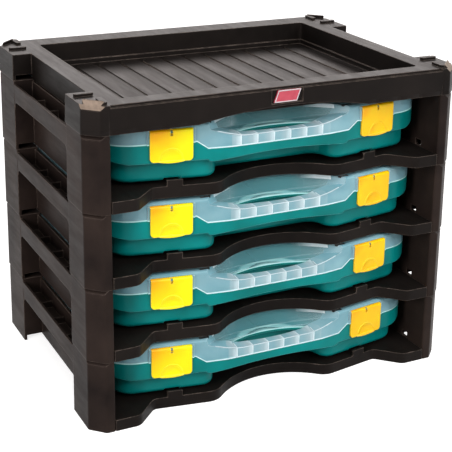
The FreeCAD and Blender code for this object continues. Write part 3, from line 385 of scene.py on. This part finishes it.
def bowl_masks(tree, y, from_middle, above_seam, from_bowl):
    """Masks of the whole bowl and of its painted highlights."""
    bowl = zone(tree, (y, HANDLE_BACK, None), (from_bowl, None, BOWL_RADIUS), (above_seam, None, BOWL_TOP))
    glint_band = zone(tree, (from_bowl, *GLINT_BAND), (above_seam, GLINT_FROM, None),
                (from_middle, None, GLINT_HALF))
    places = []
    for mask, (start, end), most in ((bowl, HIGHLIGHT_ENDS, 0.5), (glint_band, GLINT_ENDS, 0.9)):
        outward = add(tree, "ShaderNodeMapRange", {"From Min": start, "From Max": end, "To Max": most},
                      {"Value": from_middle})
        places.append(joined(tree, "MULTIPLY", mask, outward))
    return bowl, joined(tree, "MAXIMUM", *places)


def dimples(tree, y, from_middle, above_seam):
    """Mask of the painted shade in the two pill-shaped dimples."""
    along = distance(tree, from_middle, DIMPLE_AT)
    across = distance(tree, y, DIMPLE_Y)
    return zone(tree, (along, None, DIMPLE_HALF_LENGTH), (across, None, DIMPLE_HALF_WIDTH),
                (above_seam, DIMPLE_FLOOR, None))


print("dimples:", round(DIMPLE_AT / MM), "mm from the middle")


# %% [markdown]
# ## Lid: natural polypropylene, frosted and see-through
# Unfilled polypropylene is milky: it lets light through but blurs what is behind. A clear shader
# would look like glass, so the lid mixes a pale bluish body that shows its own shading with
# transparency. Seen edge-on the wall is thicker to look through, and Layer Weight makes it denser.

# %% Lid plastic
LID_HAZE = 35 * MM
LID_GRAIN = 1.3 * MM            # drawn coarser than the real grain, so that it shows
LID_EDGE = 0.9 * MM


def frosted_lid_plastic():
    """Milky see-through polypropylene, with the five places of the lid."""
    material, tree = new_material("polypropylene_frosted_natural")
    place = add(tree, "ShaderNodeTexCoord").outputs["Object"]
    x, y, from_middle, above_seam, from_bowl = lid_coordinates(tree, place)
    line = joint_highlight_line(tree, y, from_middle, above_seam)
    cells = ribbed_cells(tree, x, y, from_middle, above_seam)
    bowl, bowl_highlights = bowl_masks(tree, y, from_middle, above_seam, from_bowl)
    dimple_shade = dimples(tree, y, from_middle, above_seam)
    haze = add(tree, "ShaderNodeTexNoise", {"Scale": 1 / LID_HAZE, "Detail": 4.0}, {"Vector": place})
    grain = add(tree, "ShaderNodeTexNoise", {"Scale": 1 / LID_GRAIN, "Detail": 2.0}, {"Vector": place})
    rounded, edge = rounded_edges(tree, LID_EDGE, flat_side=0.99, sharp_side=0.85, most=0.7)
    # The pale edges and the bowl's ends and rim are painted highlights; the ribbed cells are milky plastic.
    milky_cells_and_highlights = joined(tree, "MAXIMUM", edge, cells, bowl_highlights)
    colour = add(tree, "ShaderNodeValToRGB", {"tones": ((0.3, "#86c2d2"), (0.7, "#a9d8e4"))}, {"Fac": haze})
    # The joint line is a painted highlight, and the dark dimples are painted shade.
    for mask, code in ((bowl, "#72c0ca"), (milky_cells_and_highlights, "#e4f1f6"), (line, "#c4f6f4"), (dimple_shade, "#101416")):
        mix = add(tree, "ShaderNodeMix", {"data_type": "RGBA", OVER: hex_linear(code)},
                  {0: mask, UNDER: colour})
        colour = mix.outputs[MIXED]
    bump = add(tree, "ShaderNodeBump", {"Strength": 0.25, "Distance": 0.08 * MM},
               {"Height": grain, "Normal": rounded})
    facing = add(tree, "ShaderNodeLayerWeight", {"Blend": 0.35}).outputs["Facing"]
    dense = add(tree, "ShaderNodeMapRange", {"To Min": 0.42, "To Max": 0.85}, {"Value": facing})
    clearer = add(tree, "ShaderNodeMapRange", {"To Min": 1.0, "To Max": 0.62}, {"Value": bowl})
    wall = joined(tree, "MULTIPLY", dense, clearer)
    opaque = joined(tree, "MAXIMUM", milky_cells_and_highlights, line, dimple_shade, wall)
    roughness = add(tree, "ShaderNodeMapRange", {"To Min": 0.3, "To Max": 0.16}, {"Value": bowl})
    body = add(tree, "ShaderNodeBsdfPrincipled", {"IOR": 1.49},
               {"Base Color": colour, "Alpha": opaque, "Roughness": roughness, "Normal": bump})
    add(tree, "ShaderNodeOutputMaterial", None, {"Surface": body})
    return material


lid_plastic = frosted_lid_plastic()
print("made", lid_plastic.name)


# %% [markdown]
# ## Latches: yellow polypropylene, glossy
# Yellow pigment lets a little light into the plastic, so its shaded parts turn warm rather than
# grey. A small amount of subsurface scattering gives that, and a fine grain keeps the gloss soft.
# Amber is painted as shade towards the upper left corner, which lies in the shade of the rack's lip
# above, and the right latches, which face away from the light, are painted warmer all over as
# shade. Thin edges catch the light, and their line is painted a paler yellow as a highlight. One
# material serves every latch, from its place in a level.

# %% Painted amber shade of the latches
LATCH_LEFT = -142.0 * MM        # x of the left latch's outer edge
LATCH_APART = 240.0 * MM
LATCH_WIDTH = 44.0 * MM
SHADE_RISE = (42 * MM, 72 * MM)         # the painted shade grows upwards between these heights
RIGHT_SHADE = 0.6


def latch_painted_shade(tree, place):
    """How much painted amber shade a latch gets, from zero to one: most at its upper left, and all over on
    the right.
    """
    axes = add(tree, "ShaderNodeSeparateXYZ", None, {"Vector": place}).outputs
    shifted = add(tree, "ShaderNodeMath", {"operation": "SUBTRACT", 1: LATCH_LEFT}, {0: axes["X"]})
    across = add(tree, "ShaderNodeMath", {"operation": "FLOORED_MODULO", 1: LATCH_APART}, {0: shifted})
    leftness = add(tree, "ShaderNodeMapRange", {"From Min": LATCH_WIDTH, "From Max": 0.0}, {"Value": across})
    above_seam = add(tree, "ShaderNodeMath", {"operation": "FLOORED_MODULO", 1: LEVEL}, {0: axes["Z"]})
    low, high = SHADE_RISE
    upness = add(tree, "ShaderNodeMapRange", {"From Min": low, "From Max": high, "To Min": 0.25},
                 {"Value": above_seam})
    right = add(tree, "ShaderNodeMath", {"operation": "MULTIPLY", 1: RIGHT_SHADE},
                {0: zone(tree, (axes["X"], 0.0, None))})
    return joined(tree, "MAXIMUM", joined(tree, "MULTIPLY", leftness, upness), right)


print("latches:", round(LATCH_WIDTH / MM), "mm wide,", round(LATCH_APART / MM), "mm apart")


# %% Latch plastic
LATCH_CLOUD = 25 * MM
LATCH_GRAIN = 1.0 * MM          # drawn coarser than the real grain, so that it shows
LATCH_EDGE = 0.8 * MM
LATCH_GLOW = 2 * MM             # how deep light scatters in the yellow


def moulded_latch_plastic():
    """Glossy yellow polypropylene with painted amber shade and painted pale highlights on thin edges."""
    material, tree = new_material("polypropylene_gloss_yellow")
    place = add(tree, "ShaderNodeTexCoord").outputs["Object"]
    cloud = add(tree, "ShaderNodeTexNoise", {"Scale": 1 / LATCH_CLOUD, "Detail": 3.0}, {"Vector": place})
    grain = add(tree, "ShaderNodeTexNoise", {"Scale": 1 / LATCH_GRAIN, "Detail": 2.0}, {"Vector": place})
    mottle = {"From Min": 0.3, "From Max": 0.7, "To Min": -0.1, "To Max": 0.1}
    mottled = add(tree, "ShaderNodeMapRange", mottle, {"Value": cloud})
    # Painted amber shade, with a random mottle added.
    shade_and_mottle = add(tree, "ShaderNodeMath", {"operation": "ADD", "use_clamp": True},
                 {0: latch_painted_shade(tree, place), 1: mottled})
    tone = add(tree, "ShaderNodeValToRGB", {"tones": ((0.1, "#fcec00"), (0.85, "#ffb400"))}, {"Fac": shade_and_mottle})
    rounded, edge = rounded_edges(tree, LATCH_EDGE, flat_side=0.99, sharp_side=0.8, most=0.75)
    # Painted highlight: a paler yellow along the edges.
    pale = add(tree, "ShaderNodeMix", {"data_type": "RGBA", OVER: hex_linear("#fff27a")},
               {0: edge, UNDER: tone})
    bump = add(tree, "ShaderNodeBump", {"Strength": 0.15, "Distance": 0.06 * MM},
               {"Height": grain, "Normal": rounded})
    body = add(tree, "ShaderNodeBsdfPrincipled",
               {"IOR": 1.49, "Roughness": 0.3, "Specular IOR Level": 0.3,
                "Subsurface Weight": 0.12, "Subsurface Scale": LATCH_GLOW},
               {"Base Color": pale.outputs[MIXED], "Normal": bump})
    add(tree, "ShaderNodeOutputMaterial", None, {"Surface": body})
    return material


latch_plastic = moulded_latch_plastic()
print("made", latch_plastic.name)


# %% [markdown]
# ## Badge: a bare enamelled plate
# The small slanted plate is left without any lettering. Its field is red enamel, slightly uneven
# where it pooled, and its border is bright bare metal.

# %% Badge finish
ENAMEL_CLOUD = 6 * MM


def enamelled_badge():
    """Red enamel with a thin clear coat."""
    material, tree = new_material("enamel_red_on_steel")
    place = add(tree, "ShaderNodeTexCoord").outputs["Object"]
    cloud = add(tree, "ShaderNodeTexNoise", {"Scale": 1 / ENAMEL_CLOUD, "Detail": 3.0}, {"Vector": place})
    tone = add(tree, "ShaderNodeValToRGB", {"tones": ((0.0, "#a01c34"), (1.0, "#c23a50"))}, {"Fac": cloud})
    body = add(tree, "ShaderNodeBsdfPrincipled", {"Roughness": 0.3, "Coat Weight": 0.4},
               {"Base Color": tone})
    add(tree, "ShaderNodeOutputMaterial", None, {"Surface": body})
    return material


badge_enamel = enamelled_badge()
print("made", badge_enamel.name)


# %% [markdown]
# ## Dressing the CAD parts
# Each part gets the plastic of its own moulding, and the shelves, back walls and tray get the
# darker copies with painted shade. The parts are named for what they are, so the start of a name is
# enough to choose by.

# %% Give every CAD node its plastic
FINISHES = {"side_frame": frame_plastic, "shelf": shelf_plastic_painted_shade, "back_wall": shelf_plastic_painted_shade,
            "top_tray": tray_plastic_painted_shade,
            "case_tub": case_plastic, "case_rim": case_plastic, "dividers": case_plastic,
            "case_lid": lid_plastic, "latch": latch_plastic, "badge_plate": badge_enamel}
for name, node in nodes.items():
    finish = next(material for start, material in FINISHES.items() if name.startswith(start))
    for slot in node.material_slots:
        slot.material = finish
    if not node.material_slots:
        node.data.materials.append(finish)
print("finished", len(nodes), "nodes")


# %% [markdown]
# ## Handle trim: six ribs and two beads on each lid
# The lid's half of the handle is stiffened by six ribs. Each one shows as a white line down the
# front and back over the top, with a bead along the crease between them and another along the joint
# with the base. A cut in the lid's own mesh could give these lines, but the lid is a fixed CAD part,
# so they are modelled as one thin frame that is sunk a little into the lid's surface and rides on
# it. A rib starts as a cube, and an extrusion turns it over the top. A bead is a short block whose
# end face is extruded from point to point.

# %% Edit-mode helpers
EDGE_ROUND = 0.18 * MM
TOUCHING = 0.01 * MM            # points nearer than this are one point
FLAT_WITHIN = math.radians(0.5)
SMOOTH_BELOW = math.radians(40)
FACING = 0.9                    # a face looks along an axis if its normal has this much of it


def start_block(name, low, high):
    """A block between two corners, in edit mode with nothing selected."""
    if bpy.context.object and bpy.context.object.mode != "OBJECT":
        bpy.ops.object.mode_set(mode="OBJECT")
    bpy.ops.object.select_all(action="DESELECT")
    middle = [(a + b) / 2 for a, b in zip(low, high)]
    bpy.ops.mesh.primitive_cube_add(size=1.0, location=middle)
    block = bpy.context.object
    block.name = name
    block.scale = [b - a for a, b in zip(low, high)]
    bpy.ops.object.transform_apply(location=True, rotation=True, scale=True)
    bpy.ops.object.mode_set(mode="EDIT")
    bpy.ops.mesh.select_mode(type="FACE")
    bpy.ops.mesh.select_all(action="DESELECT")
    return block


def select_faces(piece, wanted):
    """Select the faces whose middle and normal pass a test."""
    mesh = bmesh.from_edit_mesh(piece.data)
    for face in mesh.faces:
        face.select_set(bool(wanted(face.calc_center_median(), face.normal)))
    mesh.select_flush_mode()
    bmesh.update_edit_mesh(piece.data)


def extrude_to(x=0.0, y=0.0, z=0.0):
    """Extrude what is selected by a step."""
    bpy.ops.mesh.extrude_region_move(TRANSFORM_OT_translate={"value": (x, y, z)})


def finish_block(piece, round_edges=EDGE_ROUND):
    """Bevel every edge of a piece, turn its faces outward and leave edit mode."""
    bpy.ops.mesh.select_all(action="SELECT")
    bpy.ops.mesh.remove_doubles(threshold=TOUCHING)
    bpy.ops.mesh.dissolve_limited(angle_limit=FLAT_WITHIN)
    bpy.ops.mesh.select_all(action="SELECT")
    bpy.ops.mesh.bevel(offset=round_edges, segments=2, affect="EDGES", clamp_overlap=True)
    bpy.ops.mesh.select_all(action="SELECT")
    bpy.ops.mesh.normals_make_consistent(inside=False)
    bpy.ops.object.mode_set(mode="OBJECT")
    bpy.ops.object.shade_smooth_by_angle(angle=SMOOTH_BELOW)
    return piece


# %% One handle's ribs
HANDLE_TOP = 60.3 * MM
DISH_LOW = 56.8 * MM            # the dish would reach down to here in the middle
DISH_RADIUS = 250 * MM
DISH_TILT = 0.097               # the top rises this much backwards where it is dished
DISH_STARTS = 0.05 * MM         # above the flat top
PROUD = 0.35 * MM
SUNK = 0.3 * MM
RIB_HALF = 0.6 * MM
RIB_FOOT = 0.4 * MM             # above the joint
HOLE_EDGE = -135.6 * MM         # y of a rib's end, just before the hand hole


def dished_top(x):
    """Height of the handle's front crease: flat in the middle, dished towards the ends."""
    return max(HANDLE_TOP, DISH_LOW + x * x / (2 * DISH_RADIUS))


def handle_rib(x):
    """One rib, up the handle's front and back over its top to the hand hole."""
    top = dished_top(x)
    tilt = DISH_TILT if top > HANDLE_TOP + DISH_STARTS else 0.0
    rib = start_block("rib", (x - RIB_HALF, HANDLE_FACE - PROUD, HANDLE_JOINT + RIB_FOOT),
                      (x + RIB_HALF, HANDLE_FACE + SUNK, top - SUNK))
    select_faces(rib, lambda middle, normal: normal.z > FACING)
    extrude_to(z=PROUD + SUNK)
    select_faces(rib, lambda middle, normal: normal.y > FACING and middle.z > top - SUNK)
    run = HOLE_EDGE - HANDLE_FACE - SUNK
    extrude_to(y=run, z=run * tilt)
    return finish_block(rib)


trim_parts = [handle_rib((index - (RIBS - 1) / 2) * RIB_SPACING) for index in range(RIBS)]
print("ribs:", len(trim_parts))


# %% One handle's beads
FLANK_SLOPE = 0.163             # how much a flank of the case falls back for each step outward
FLANK_END = 30.3 * MM           # where a flank ends at the case's side, behind the rack's front
GRIP_HALF = 58.3 * MM           # the handle's straight front ends here
BEAD_ROUND = 0.12 * MM
BEAD_START = 0.5 * MM
CREASE_BEAD = 0.7 * MM
CREASE_STEP = 4 * MM
CREASE_STEPS = 18               # on each side of the middle
JOINT_BEAD = 0.9 * MM
JOINT_END = 97 * MM
BEAD_LIFT = 0.55 * MM           # from the joint up to the bead's middle


def flank_face(x):
    """y of the case's front at a distance from its middle."""
    return max(HANDLE_FACE, RACK_FRONT + FLANK_END - FLANK_SLOPE * (CASE_HALF - abs(x)))


def bead(name, points, height):
    """A thin square bead on the case's front, from point to point along the front."""
    x, z = points[0]
    y = flank_face(x)
    strip = start_block(name, (x - BEAD_START, y - PROUD, z - height / 2), (x, y + SUNK, z + height / 2))
    for next_x, next_z in points[1:]:
        next_y = flank_face(next_x)
        select_faces(strip, lambda middle, normal: middle.x > x - TOUCHING and normal.x > FACING)
        extrude_to(next_x - x, next_y - y, next_z - z)
        x, y, z = next_x, next_y, next_z
    return finish_block(strip, BEAD_ROUND)


crease = [(step * CREASE_STEP, dished_top(step * CREASE_STEP))
          for step in range(-CREASE_STEPS, CREASE_STEPS + 1)]
trim_parts.append(bead("crease_bead", crease, CREASE_BEAD))
low_line = HANDLE_JOINT + BEAD_LIFT
high_line = LID_JOINT + BEAD_LIFT
right_half = [(GRIP_HALF, low_line), (HANDLE_HALF, low_line),
              (HANDLE_HALF + HANDLE_RAMP, high_line), (JOINT_END, high_line)]
joint = [(-x, z) for x, z in reversed(right_half)] + right_half
trim_parts.append(bead("joint_bead", joint, JOINT_BEAD))
print("beads along", len(crease), "and", len(joint), "points")


# %% [markdown]
# ## The trim's plastic
# It is the lid's natural polypropylene where it is thickest, so it is milky white and lets almost
# nothing through. A faint grain keeps it from looking like paint.

# %% Trim plastic
TRIM_CLOUD = 8 * MM


def milky_trim_plastic():
    """Thick natural polypropylene, milky white."""
    material, tree = new_material("polypropylene_natural_milky")
    place = add(tree, "ShaderNodeTexCoord").outputs["Object"]
    cloud = add(tree, "ShaderNodeTexNoise", {"Scale": 1 / TRIM_CLOUD, "Detail": 3.0}, {"Vector": place})
    tone = add(tree, "ShaderNodeValToRGB", {"tones": ((0.0, "#c9e6ee"), (1.0, "#f2fbff"))}, {"Fac": cloud})
    bump = add(tree, "ShaderNodeBump", {"Strength": 0.2, "Distance": 0.05 * MM}, {"Height": cloud})
    body = add(tree, "ShaderNodeBsdfPrincipled", {"IOR": 1.49, "Roughness": 0.28, "Alpha": 0.9},
               {"Base Color": tone, "Normal": bump})
    add(tree, "ShaderNodeOutputMaterial", None, {"Surface": body})
    return material


trim_plastic = milky_trim_plastic()
print("made", trim_plastic.name)


# %% [markdown]
# ## One trim for each lid
# The ribs and beads become one piece, and the other levels get a copy of it. A copy has its own mesh
# that is moved up in place, so that every finished object still sits at the origin.

# %% Join the trim and copy it
def lifted_copy(piece, name, move):
    """A copy of a piece with its own mesh, moved by a matrix."""
    twin = piece.copy()
    twin.data = piece.data.copy()
    twin.data.transform(move)
    twin.name = twin.data.name = name
    bpy.context.scene.collection.objects.link(twin)
    return twin


bpy.ops.object.select_all(action="DESELECT")
for part in trim_parts:
    part.select_set(True)
bpy.context.view_layer.objects.active = trim_parts[0]
bpy.ops.object.join()
pattern = bpy.context.object
pattern.data.materials.clear()
pattern.data.materials.append(trim_plastic)
for level in range(LEVELS):
    trim = lifted_copy(pattern, "handle_trim_%d" % (level + 1), Matrix.Translation((0, 0, level * LEVEL)))
    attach(trim, "lid_%d" % (level + 1))
print("handle trims:", LEVELS, "with", len(pattern.data.polygons), "faces each")
bpy.data.objects.remove(pattern)


# %% [markdown]
# ## Thumb rims: a raised arch round each latch's hollow
# A latch is pulled out by a thumb that finds a shallow hollow at its foot. The moulding has a low
# rim round that hollow, which shows as a pale arch. It is turned rather than drawn: one end of a
# small block is spun about the hollow's middle. Each copy is then set on its latch and rides on it.

# %% One thumb rim, and one on each latch
HOLLOW_LEVEL = 42.0 * MM        # the hollow's middle above a level's seam
RIM_RADIUS = 11.4 * MM
RIM_WIDTH = 1.8 * MM
RIM_START = 0.5 * MM            # height of the block that is spun
RIM_ROUND = 0.3 * MM
RIM_STEPS = 28
LATCH_FACE = -2.8 * MM          # y of a latch's face from the flank that it hangs on
LATCH_MIDDLE = 120.0 * MM
arch = start_block("thumb_rim", (RIM_RADIUS - RIM_WIDTH / 2, LATCH_FACE - PROUD, HOLLOW_LEVEL - RIM_START),
                   (RIM_RADIUS + RIM_WIDTH / 2, LATCH_FACE + SUNK, HOLLOW_LEVEL))
select_faces(arch, lambda middle, normal: normal.z > FACING)
bpy.ops.mesh.spin(steps=RIM_STEPS, angle=math.radians(180), center=(0, LATCH_FACE, HOLLOW_LEVEL),
                  axis=(0, 1, 0))
finish_block(arch, RIM_ROUND)
arch.data.materials.clear()
arch.data.materials.append(latch_plastic)
flank_turn = math.atan(FLANK_SLOPE)
for level in range(LEVELS):
    for side, hand in ((-1, "left"), (1, "right")):
        seat = Matrix.Translation((side * LATCH_MIDDLE, flank_face(LATCH_MIDDLE), level * LEVEL))
        rim = lifted_copy(arch, "thumb_rim_%s_%d" % (hand, level + 1),
                          seat @ Matrix.Rotation(side * flank_turn, 4, "Z"))
        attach(rim, "%s_latch_%d" % (hand, level + 1))
print("thumb rims:", 2 * LEVELS, "each", [round(size / MM, 1) for size in arch.dimensions])
bpy.data.objects.remove(arch)


# %% [markdown]
# ## Badge border: pressed bright metal
# The plate's rim is a narrow raised border round the bare field. It starts as a plane that stands on
# the plate's face. Moving its upper edge sideways gives the slant, an inset makes the border, and
# extruding that border forward gives it thickness.

# %% Badge border
BORDER_WIDTH = 1.1 * MM
BORDER_PROUD = 0.3 * MM
BORDER_ROUND = 0.1 * MM
BORDER_GAP = 0.02 * MM          # keeps the border's back off the plate's own face
PLATE_LEAN = 4.5 * MM           # how far the plate's upper edge is to the right of its lower one
plate_low, plate_high = (Vector(corner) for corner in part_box("badge_plate"))
plate_middle = (plate_low + plate_high) / 2
plate_size = plate_high - plate_low
bpy.ops.object.select_all(action="DESELECT")
bpy.ops.mesh.primitive_plane_add(size=1.0, rotation=(math.radians(90), 0, 0),
                                 location=(plate_middle.x, plate_low.y - BORDER_GAP, plate_middle.z))
border = bpy.context.object
border.name = "badge_border"
border.scale = (plate_size.x - PLATE_LEAN, plate_size.z, 1.0)
bpy.ops.object.transform_apply(location=True, rotation=True, scale=True)
bpy.ops.object.mode_set(mode="EDIT")
bpy.ops.mesh.select_mode(type="EDGE")
for upper, shift in ((True, PLATE_LEAN / 2), (False, -PLATE_LEAN / 2)):
    mesh = bmesh.from_edit_mesh(border.data)
    for edge in mesh.edges:
        ends = [vert.co.z > plate_middle.z for vert in edge.verts]
        edge.select_set(all(ends) if upper else not any(ends))
    bmesh.update_edit_mesh(border.data)
    bpy.ops.transform.translate(value=(shift, 0, 0))
bpy.ops.mesh.select_mode(type="FACE")
bpy.ops.mesh.select_all(action="SELECT")
bpy.ops.mesh.inset(thickness=BORDER_WIDTH)
bpy.ops.mesh.delete(type="FACE")
bpy.ops.mesh.select_all(action="SELECT")
extrude_to(y=-BORDER_PROUD)
bpy.ops.mesh.select_all(action="SELECT")
bpy.ops.mesh.normals_make_consistent(inside=False)
bpy.ops.mesh.bevel(offset=BORDER_ROUND, segments=2, affect="EDGES")
bpy.ops.object.mode_set(mode="OBJECT")
bpy.ops.object.shade_smooth_by_angle(angle=SMOOTH_BELOW)
print("badge border:", len(border.data.polygons), "faces, plate", [round(v / MM, 2) for v in plate_size])


# %% [markdown]
# ## The border's metal
# Pressed steel keeps fine lines along the direction in which it was drawn. They are a noise that
# changes ten times more slowly along the plate than across it, in the colour and in the bump.

# %% Border metal
DRAWN_LINES = 0.8 * MM          # drawn coarser than the real lines, so that they show
DRAWN_SLOWNESS = 0.1            # how fast they change along the plate, against across it


def pressed_bright_metal():
    """Bright steel with fine drawn lines along the plate."""
    material, tree = new_material("steel_pressed_bright")
    place = add(tree, "ShaderNodeTexCoord").outputs["Object"]
    drawn = add(tree, "ShaderNodeMapping", {"Scale": (DRAWN_SLOWNESS, 1.0, 1.0)}, {"Vector": place})
    lines = add(tree, "ShaderNodeTexNoise", {"Scale": 1 / DRAWN_LINES, "Detail": 3.0}, {"Vector": drawn})
    tone = add(tree, "ShaderNodeValToRGB", {"tones": ((0.0, "#9c8f92"), (1.0, "#d9d2d4"))}, {"Fac": lines})
    bump = add(tree, "ShaderNodeBump", {"Strength": 0.2, "Distance": 0.03 * MM}, {"Height": lines})
    body = add(tree, "ShaderNodeBsdfPrincipled", {"Metallic": 1.0, "Roughness": 0.32},
               {"Base Color": tone, "Normal": bump})
    add(tree, "ShaderNodeOutputMaterial", None, {"Surface": body})
    return material


border.data.materials.append(pressed_bright_metal())
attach(border, "rack")
print("made", border.data.materials[0].name)


# %% [markdown]
# ## The studio
# A plain pale floor and a white surround. The floor keeps a soft shadow. What the camera sees
# directly, mirrored or through a clear part is made white by a rule in each material, without
# putting more light on the object.

# %% Floor
FLOOR_SIZE = 12.0
FLOOR_DROP = 0.2 * MM           # keeps the floor off the feet
FLOOR_PAINT = (0.5, 0.5, 0.5, 1.0)
FLOOR_GLOW = 0.82               # lifts the sight of the lit floor to white
WHITE = (1.0, 1.0, 1.0, 1.0)


def seen_directly(tree):
    """One for what the camera sees, straight, mirrored or through a clear part, else zero."""
    ray = add(tree, "ShaderNodeLightPath").outputs
    return joined(tree, "MAXIMUM", ray["Is Camera Ray"], ray["Is Glossy Ray"], ray["Is Transmission Ray"])


bpy.ops.object.select_all(action="DESELECT")
bpy.ops.mesh.primitive_plane_add(size=FLOOR_SIZE, location=(0.0, 0.0, -FLOOR_DROP))
floor = bpy.context.object
floor.name = "studio_floor"
floor_white, tree = new_material("studio_floor_white")
paint = add(tree, "ShaderNodeBsdfDiffuse", {"Color": FLOOR_PAINT})
share = add(tree, "ShaderNodeMath", {"operation": "MULTIPLY", 1: FLOOR_GLOW}, {0: seen_directly(tree)})
glow = add(tree, "ShaderNodeEmission", {"Color": WHITE}, {"Strength": share})
lit_and_glowing = add(tree, "ShaderNodeAddShader", None, {0: paint, 1: glow})
add(tree, "ShaderNodeOutputMaterial", None, {"Surface": lit_and_glowing})
floor.data.materials.append(floor_white)
print("floor:", FLOOR_SIZE, "m square")


# %% Surround
AMBIENT = 0.08                  # strength of the surround as a light

world = bpy.data.worlds.new("studio_surround")
bpy.context.scene.world = world
world.use_nodes = True
tree = world.node_tree
tree.nodes.clear()
strength = add(tree, "ShaderNodeMapRange", {"To Min": AMBIENT, "To Max": 1.0},
               {"Value": seen_directly(tree)})
surround = add(tree, "ShaderNodeBackground", {"Color": WHITE}, {"Strength": strength})
add(tree, "ShaderNodeOutputWorld", None, {"Surface": surround})
print("surround made, ambient strength", AMBIENT)


# %% [markdown]
# ## Light
# Five softboxes, all at a plain level. The key hangs high in front and lights the yellow, teal and
# frosted fronts. A wide one behind, slightly warm, is mirrored by the flat tops and gives the tray
# and lids their pale sheen. A weaker one in front on the right opens up the cases inside their bays.
# A small warm one on the left picks out the posts, and a faint strip draws the right side.

# %% Softboxes
WARM = (1.0, 0.93, 0.9)
WARMER = (1.0, 0.91, 0.88)
PLAIN = (1.0, 1.0, 1.0)


def softbox(name, place, target, width, height, power, colour):
    """A rectangular area light that faces a target. Sizes are metres and the power is watts."""
    lamp = bpy.data.lights.new(name, "AREA")
    lamp.color = colour
    lamp.shape = "RECTANGLE"
    lamp.size = width
    lamp.size_y = height
    lamp.energy = power
    box = bpy.data.objects.new(name, lamp)
    box.location = place
    box.rotation_euler = (Vector(target) - Vector(place)).to_track_quat("-Z", "Y").to_euler()
    bpy.context.scene.collection.objects.link(box)


softbox("key_softbox", (-0.5, -1.6, 2.4), (0, 0, 0.2), 1.6, 1.2, 40.0, PLAIN)
softbox("back_softbox", (0.6, 1.85, 1.45), (0, 0, 0.3), 2.4, 0.9, 38.0, WARMER)
softbox("front_softbox", (0.9, -2.1, 1.3), (0, 0, 0.15), 1.2, 0.8, 28.0, PLAIN)
softbox("left_softbox", (-1.5, -0.9, 0.7), (-0.1, 0, 0.2), 0.5, 0.8, 16.0, WARM)
softbox("right_strip", (1.8, -0.6, 0.9), (0, 0, 0.2), 0.5, 1.4, 6.0, PLAIN)


# %% [markdown]
# ## Camera
# The view is from the front left and a little above, from about one and a third metres, where the
# front, the left side and the tray's floor all show. The small shift only centres the object.

# %% Camera
SENSOR_WIDTH = 36.0             # mm, as the lens is
LENS = 93.54
CAMERA_PLACE = (-0.56218, -1.15259, 0.64204)
SHIFT_X = -0.0144
SHIFT_Y = -0.1
TURN_LEFT = math.radians(-26.65)
LOOK_DOWN = math.radians(19.09)
ROLL = math.radians(0.963)
camera_data = bpy.data.cameras.new("product_camera")
camera_data.sensor_width = SENSOR_WIDTH
camera_data.lens = LENS
camera_data.shift_x = SHIFT_X
camera_data.shift_y = SHIFT_Y
camera = bpy.data.objects.new("product_camera", camera_data)
turn = (Matrix.Rotation(TURN_LEFT, 3, "Z") @ Matrix.Rotation(math.radians(90) - LOOK_DOWN, 3, "X")
        @ Matrix.Rotation(ROLL, 3, "Z"))
camera.rotation_euler = turn.to_euler()
camera.location = CAMERA_PLACE
bpy.context.scene.collection.objects.link(camera)
bpy.context.scene.camera = camera
bpy.context.scene.view_settings.view_transform = "Standard"
middle = (Vector(cad_box[0]) + Vector(cad_box[1])) / 2
print("camera:", round((camera.location - middle).length, 2), "m from the object's middle")
